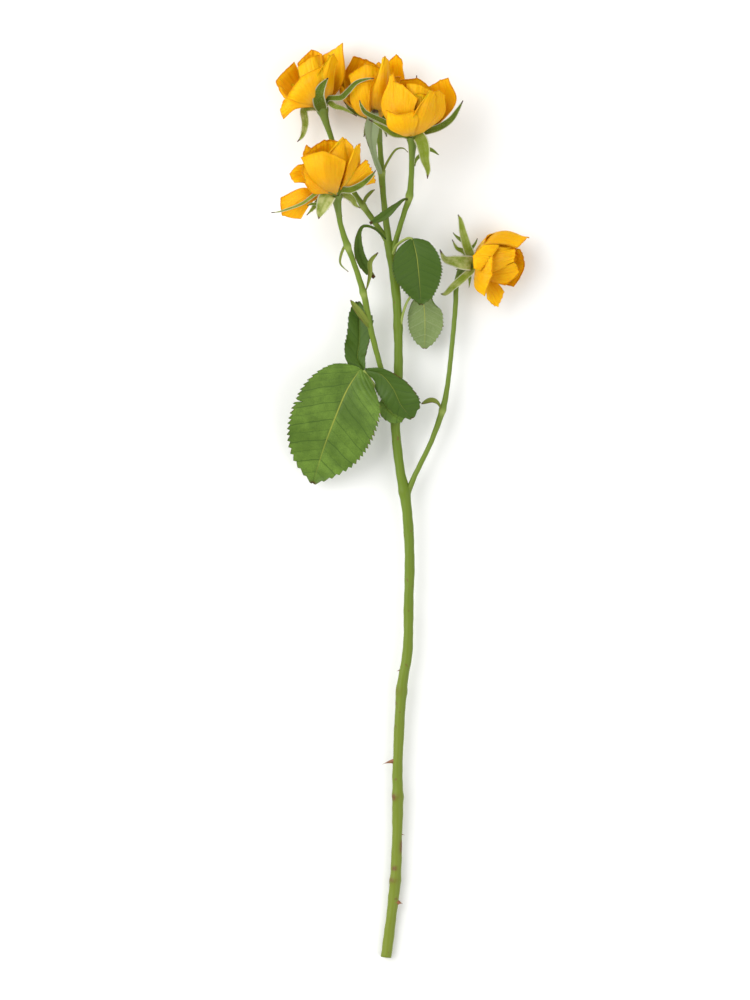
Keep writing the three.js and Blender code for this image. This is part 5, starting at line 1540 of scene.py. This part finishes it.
def ring_swell(y, turn):
    """How far the main stem stands out at y and turn: its rings, and a slight unevenness all along."""
    rings = sum(ring["swell"] * bell(y - ring["y"], RING_WIDTH) for ring in NODES)
    return rings + 0.08 * math.sin(0.31 * y + 2 * turn) + 0.05 * math.sin(0.83 * y - turn)


def scar_at(y, turn):
    """How brown the main stem is at y and turn, from 0 to 1. The rings are browner on their left."""
    marks = [
        ring["scar"] * bell(y - ring["y"], SCAR_WIDTH) * (0.45 - 0.55 * math.cos(turn))
        for ring in NODES
    ]
    for old in OLD_SCARS:
        off = math.remainder(turn - math.radians(old["turn"]), 2 * math.pi)
        marks.append(1.2 * math.exp(-(((y - old["y"]) / old["long"]) ** 4)) * bell(off, 0.5))
    return min(1, max(0, *marks))


def prickle_route(y, turn, length, root):
    """The route of a prickle: out of the stem and bent a little down."""
    ys = [point[1] for point in MAIN_STEM]
    x, z, r = (np.interp(y, ys, [point[i] for point in MAIN_STEM]) for i in (0, 2, 3))
    out = np.array([math.cos(math.radians(turn)), 0, math.sin(math.radians(turn))])
    route = []
    for t in (0, 0.3, 0.6, 0.85, 1):
        reach, bend = r * 0.6 + (length + r * 0.4) * t, 0.3 * length * t * t
        at = np.array([x, y, z]) + out * reach - np.array([0, bend, 0])
        route.append([*at, max(LEAST_RADIUS, root * 1.2 * (1 - t) ** 1.4)])
    return route


def seat_of(i):
    """Where the bloom of stalk i sits."""
    return np.array(STALKS[i][-1][:3])


def hip_route(i, ahead):
    """The green cup's route of x, y, z and radius: out of the top of its stalk and up to its rim."""
    seat, below = seat_of(i), np.array(STALKS[i][-2])
    down = unit(below[:3] - seat)
    stalk_radius = np.interp(HIP_FOOT, [0, STALK_END], [STALKS[i][-1][3], below[3]])
    route = [[*(seat + down * HIP_FOOT), stalk_radius * 0.98]]
    route.append([*(seat + down * HIP_NECK), NECK_RADIUS])
    route += [[*(seat + ahead * height), radius] for height, radius in HIP_PROFILE]
    return route


class ROSE_OT_blooms(bpy.types.Operator):
    """Build the petals of every bloom"""
    bl_idname = "rose.blooms"
    bl_label = "Blooms"

    def execute(self, context):
        sizes, colours = context.scene.rose_sizes, context.scene.rose_colours
        # The outside's peach foot is partly its own colour and partly painted glow of light through it.
        outside = petal_material("petal_outside", colours, colours.petal_foot_and_glow, 0.45)
        inside = petal_material("petal_inside", colours, colours.petal_deep, 0.55)
        thick = sizes.petal_thickness / MM
        for i, bloom in enumerate(BLOOMS):
            axes = bloom_frame(bloom["axis"])
            root = seat_of(i) + axes[:, 2] * HIP_HEIGHT
            draw = random.Random(31 * i + 7)
            maker = Maker()
            hidden = [dict(BACK_PETAL, **petal) for petal in bloom["back"]]
            hidden += [dict(petal, turn=bloom["heart"] + NEXT_TURN * k) for k, petal in enumerate(HEART)]
            for k, petal in enumerate(hidden):
                surface = wrapped_petal(petal)
                facing = looks_out(surface)
                soft = softened(surface, facing, 100 * i + k, sizes, petal, rounding=0.035)
                maker.sheet(
                    lambda u, v: soft(u, v) @ axes.T + root, sizes.petal_columns, sizes.petal_rows,
                    thick, draw.random(), flip=facing < 0,
                )
            for k, petal in enumerate(bloom["petals"]):
                surface, facing = laid_petal(petal, bloom["axis"])
                rolls = petal.get("roll", [0, 0])
                # A margin that rolls back takes as much of the grid as the half of the petal beside it.
                span = (-2 if rolls[0] else -1, 2 if rolls[1] else 1)
                soft = softened(surface, facing, 100 * i + 50 + k, sizes, petal, rounding=0.0)
                maker.sheet(
                    lambda u, v: soft(u, v) + root, sizes.petal_columns, sizes.petal_rows,
                    thick, draw.random(), span=span, flip=facing < 0,
                )
            maker.finish(f"petals_{i + 1}", [outside, inside], "petal", f"bloom_{i + 1}")
        return {"FINISHED"}


def looks_out(surface):
    """1 where a wrapped petal's grid looks away from the bloom's axis, otherwise -1."""
    middle = np.array([0.0])
    at, out = surface(middle, middle + 0.5)[0], normals_of(surface, middle, middle + 0.5)[0]
    return math.copysign(1, at[0] * out[0] + at[1] * out[1])


class ROSE_OT_calyxes(bpy.types.Operator):
    """Build the green cup and the five sepals under every bloom"""
    bl_idname = "rose.calyxes"
    bl_label = "Calyxes"

    def execute(self, context):
        sizes, colours = context.scene.rose_sizes, context.scene.rose_colours
        green = sepal_material(
            "sepal_outside", colours.sepal, colours.sepal_deep, colours.sepal_margin, shade(SEPAL_TIP),
        )
        lining = sepal_material(
            "sepal_lining", colours.sepal_lining, colours.sepal, colours.sepal_margin, shade(LINING_TIP),
        )
        hip = plain_material("hip_skin", colours.hip, colours.stem_high, 260.0, 0.5)
        down = plain_material("sepal_hair", colours.sepal_margin, colours.sepal_lining, 900.0, 0.8)
        thick = sizes.leaf_thickness / MM
        for i, bloom in enumerate(BLOOMS):
            axes, seat = bloom_frame(bloom["axis"]), seat_of(i)
            draw = random.Random(57 * i + 3)
            maker = Maker()
            maker.tube(hip_route(i, axes[:, 2]), sides=24, step=0.4, material=CUP_PLACE)
            rim = seat + axes[:, 2] * HIP_HEIGHT
            for sepal in bloom["sepals"]:
                blade = sepal_surface(sepal, bloom["axis"], rim)
                start, end = raised([sepal["path"][0], sepal["path"][-1]], bloom["axis"])
                # A sepal of the upper side that bends back shows its lining, and so does one of the lower
                # side that runs forward.
                bent_back = (end - start) @ axes[:, 2] < 0
                lining_up = bent_back == (sepal["path"][0][2] > -2)
                sides = (1, 0) if lining_up else (0, 1)
                tone = sepal.get("tone", draw.random())
                maker.sheet(blade, NARROW_COLUMNS, SEPAL_ROWS, thick, tone, sides=sides)
                for side, at in sepal.get("lobes", []):
                    lobe = lobe_surface(blade, side, at)
                    maker.sheet(lobe, LOBE_COLUMNS, LOBE_ROWS, thick * 0.8, tone, sides=sides)
                grow_hairs(maker, blade, draw)
            maker.finish(f"calyx_green_{i + 1}", [green, lining, hip, down], "calyx", f"calyx_{i + 1}")
        return {"FINISHED"}


def lobe_surface(blade, side, at):
    """The surface of a narrow lobe that stands out of a sepal's side, from a share of its path."""
    def surface(u, v):
        half = 0.035 * (1 - v) ** 0.8 + 0.006
        forward = at + 0.12 * v**1.4 + half * u * side
        return blade(side * (0.6 + 2.2 * v), np.minimum(forward, 1))

    return surface


def grow_hairs(maker, blade, draw):
    """Roots fine hairs along both margins of a sepal, pointing outwards and forwards."""
    for _ in range(HAIR_COUNT):
        u = np.array([draw.choice([-1, 1]) * draw.uniform(0.8, 1)])
        v = np.array([draw.uniform(0.02, 0.97)])
        point = blade(u, v)[0]
        way = unit(blade(u * 1.3, v + 0.02)[0] - point)
        way += np.array([draw.uniform(-0.4, 0.4) for _ in range(3)])
        maker.hair(point, way, draw.uniform(*HAIR_LENGTH), HAIR_RADIUS, HAIR_PLACE)


def build_leaf(name, leaf, sizes, materials):
    """Builds a leaf or bract: its stalk and its blades."""
    thick = sizes.leaf_thickness / MM
    draw = random.Random(name)
    maker = Maker()
    if "stalk" in leaf:
        maker.tube(leaf["stalk"], sides=10, step=0.8, material=LEAF_STALK_PLACE)
    for blade in leaf["blades"]:
        columns = BROAD_COLUMNS if "left" in blade else NARROW_COLUMNS
        rows = TOOTH_ROWS * blade.get("teeth", 6)
        maker.sheet(
            leaf_surface(blade, sizes.serration), columns, rows, thick,
            blade.get("tone", draw.random()), veins=blade.get("veins", 0),
        )
    maker.finish(f"{name}_blade", materials, "leaf", name)


def leaf_materials(colours):
    """The two faces of a leaf and its stalk."""
    return [
        leaf_material(
            "leaf_face", colours.leaf, colours.leaf_deep, colours.midrib, colours.leaf_vein,
            gloss=0.45, relief=0.3,
        ),
        leaf_material(
            "leaf_underside", colours.underside, colours.underside_deep, colours.midrib,
            shade(UNDERSIDE_VEIN), gloss=0.6, relief=0.5,
        ),
        stem_material("leaf_stalk", colours),
    ]


class ROSE_OT_leaves(bpy.types.Operator):
    """Build the compound leaf and the two single leaves"""
    bl_idname = "rose.leaves"
    bl_label = "Leaves"

    def execute(self, context):
        materials = leaf_materials(context.scene.rose_colours)
        for name, leaf in LEAVES.items():
            if name.startswith("leaf_"):
                build_leaf(name, leaf, context.scene.rose_sizes, materials)
        return {"FINISHED"}


class ROSE_OT_bracts(bpy.types.Operator):
    """Build the small bracts and threads at the forks of the stem"""
    bl_idname = "rose.bracts"
    bl_label = "Bracts"

    def execute(self, context):
        looks = {}
        for look, (body, deep, midrib) in BRACT_LOOKS.items():
            colours = [shade(code) for code in (body, deep, midrib, deep)]
            looks[look] = leaf_material(
                f"bract_{look}", *colours, gloss=0.55, relief=0.3, tip_from=0.93,
            )
        for name, leaf in LEAVES.items():
            if name.startswith("bract_"):
                shown = looks[leaf.get("look", "pale")]
                build_leaf(name, leaf, context.scene.rose_sizes, [shown, looks["pale"]])
        return {"FINISHED"}


class ROSE_OT_stage(bpy.types.Operator):
    """Set out the pale floor, the soft lights and the camera that looks straight down"""
    bl_idname = "rose.stage"
    bl_label = "Floor, light and camera"

    def execute(self, context):
        scene, stage = context.scene, context.scene.rose_stage
        bm = bmesh.new()
        bmesh.ops.create_grid(bm, x_segments=8, y_segments=8, size=FLOOR_HALF)
        mesh = bpy.data.meshes.new("floor")
        bm.to_mesh(mesh)
        bm.free()
        mesh.materials.append(plain_material("pale_floor", stage.floor, stage.floor * 0.985, 30.0, 0.9))
        floor = placed("floor", mesh)

        world = bpy.data.worlds.new("pale_surround")
        world.use_nodes = True
        surround = world.node_tree.nodes["Background"].inputs
        surround["Color"].default_value = (1, 1, 1, 1)
        surround["Strength"].default_value = stage.sky
        scene.world = world
        for lamp in LIGHTS:
            light = bpy.data.lights.new(lamp["name"], "AREA")
            light.energy = getattr(stage, lamp["name"])
            light.size = lamp["size"]
            stand = placed(lamp["name"], light)
            stand.location = lamp["place"]
            stand.rotation_euler = (-stand.location).to_track_quat("-Z", "Y").to_euler()

        lens = bpy.data.cameras.new("photo_view")
        lens.lens = stage.lens
        lens.sensor_width = SENSOR
        lens.clip_end = 50
        camera = placed("photo_view", lens)
        camera.location = (VIEW_MIDDLE, 0, stage.lens / SENSOR * stage.view_height)
        scene.camera = camera
        scene.view_settings.view_transform = "Standard"
        return {"FINISHED"}


class ROSE_PT_panel(bpy.types.Panel):
    """Lists the pieces of the rose and what can be changed"""
    bl_idname = "ROSE_PT_panel"
    bl_label = "Cut Spray Rose"
    bl_space_type = "VIEW_3D"
    bl_region_type = "UI"
    bl_category = "Rose"

    def draw(self, context):
        for operator in OPERATORS:
            self.layout.operator(operator.bl_idname)
        for group in (context.scene.rose_sizes, context.scene.rose_colours, context.scene.rose_stage):
            box = self.layout.box()
            for name in group.__annotations__:
                box.prop(group, name)


GROUPS = [("rose_sizes", RoseSizes), ("rose_colours", RoseColours), ("rose_stage", RoseStage)]
OPERATORS = [ROSE_OT_stem, ROSE_OT_calyxes, ROSE_OT_blooms, ROSE_OT_leaves, ROSE_OT_bracts, ROSE_OT_stage]


def register():
    for name, group in GROUPS:
        bpy.utils.register_class(group)
        setattr(bpy.types.Scene, name, bpy.props.PointerProperty(type=group))
    for kind in (*OPERATORS, ROSE_PT_panel):
        bpy.utils.register_class(kind)


def unregister():
    for kind in (ROSE_PT_panel, *reversed(OPERATORS)):
        bpy.utils.unregister_class(kind)
    for name, group in reversed(GROUPS):
        delattr(bpy.types.Scene, name)
        bpy.utils.unregister_class(group)


def main():
    register()
    bpy.ops.rose.stem()
    bpy.ops.rose.calyxes()
    bpy.ops.rose.blooms()
    bpy.ops.rose.leaves()
    bpy.ops.rose.bracts()
    bpy.ops.rose.stage()


if __name__ == "__main__":
    main()
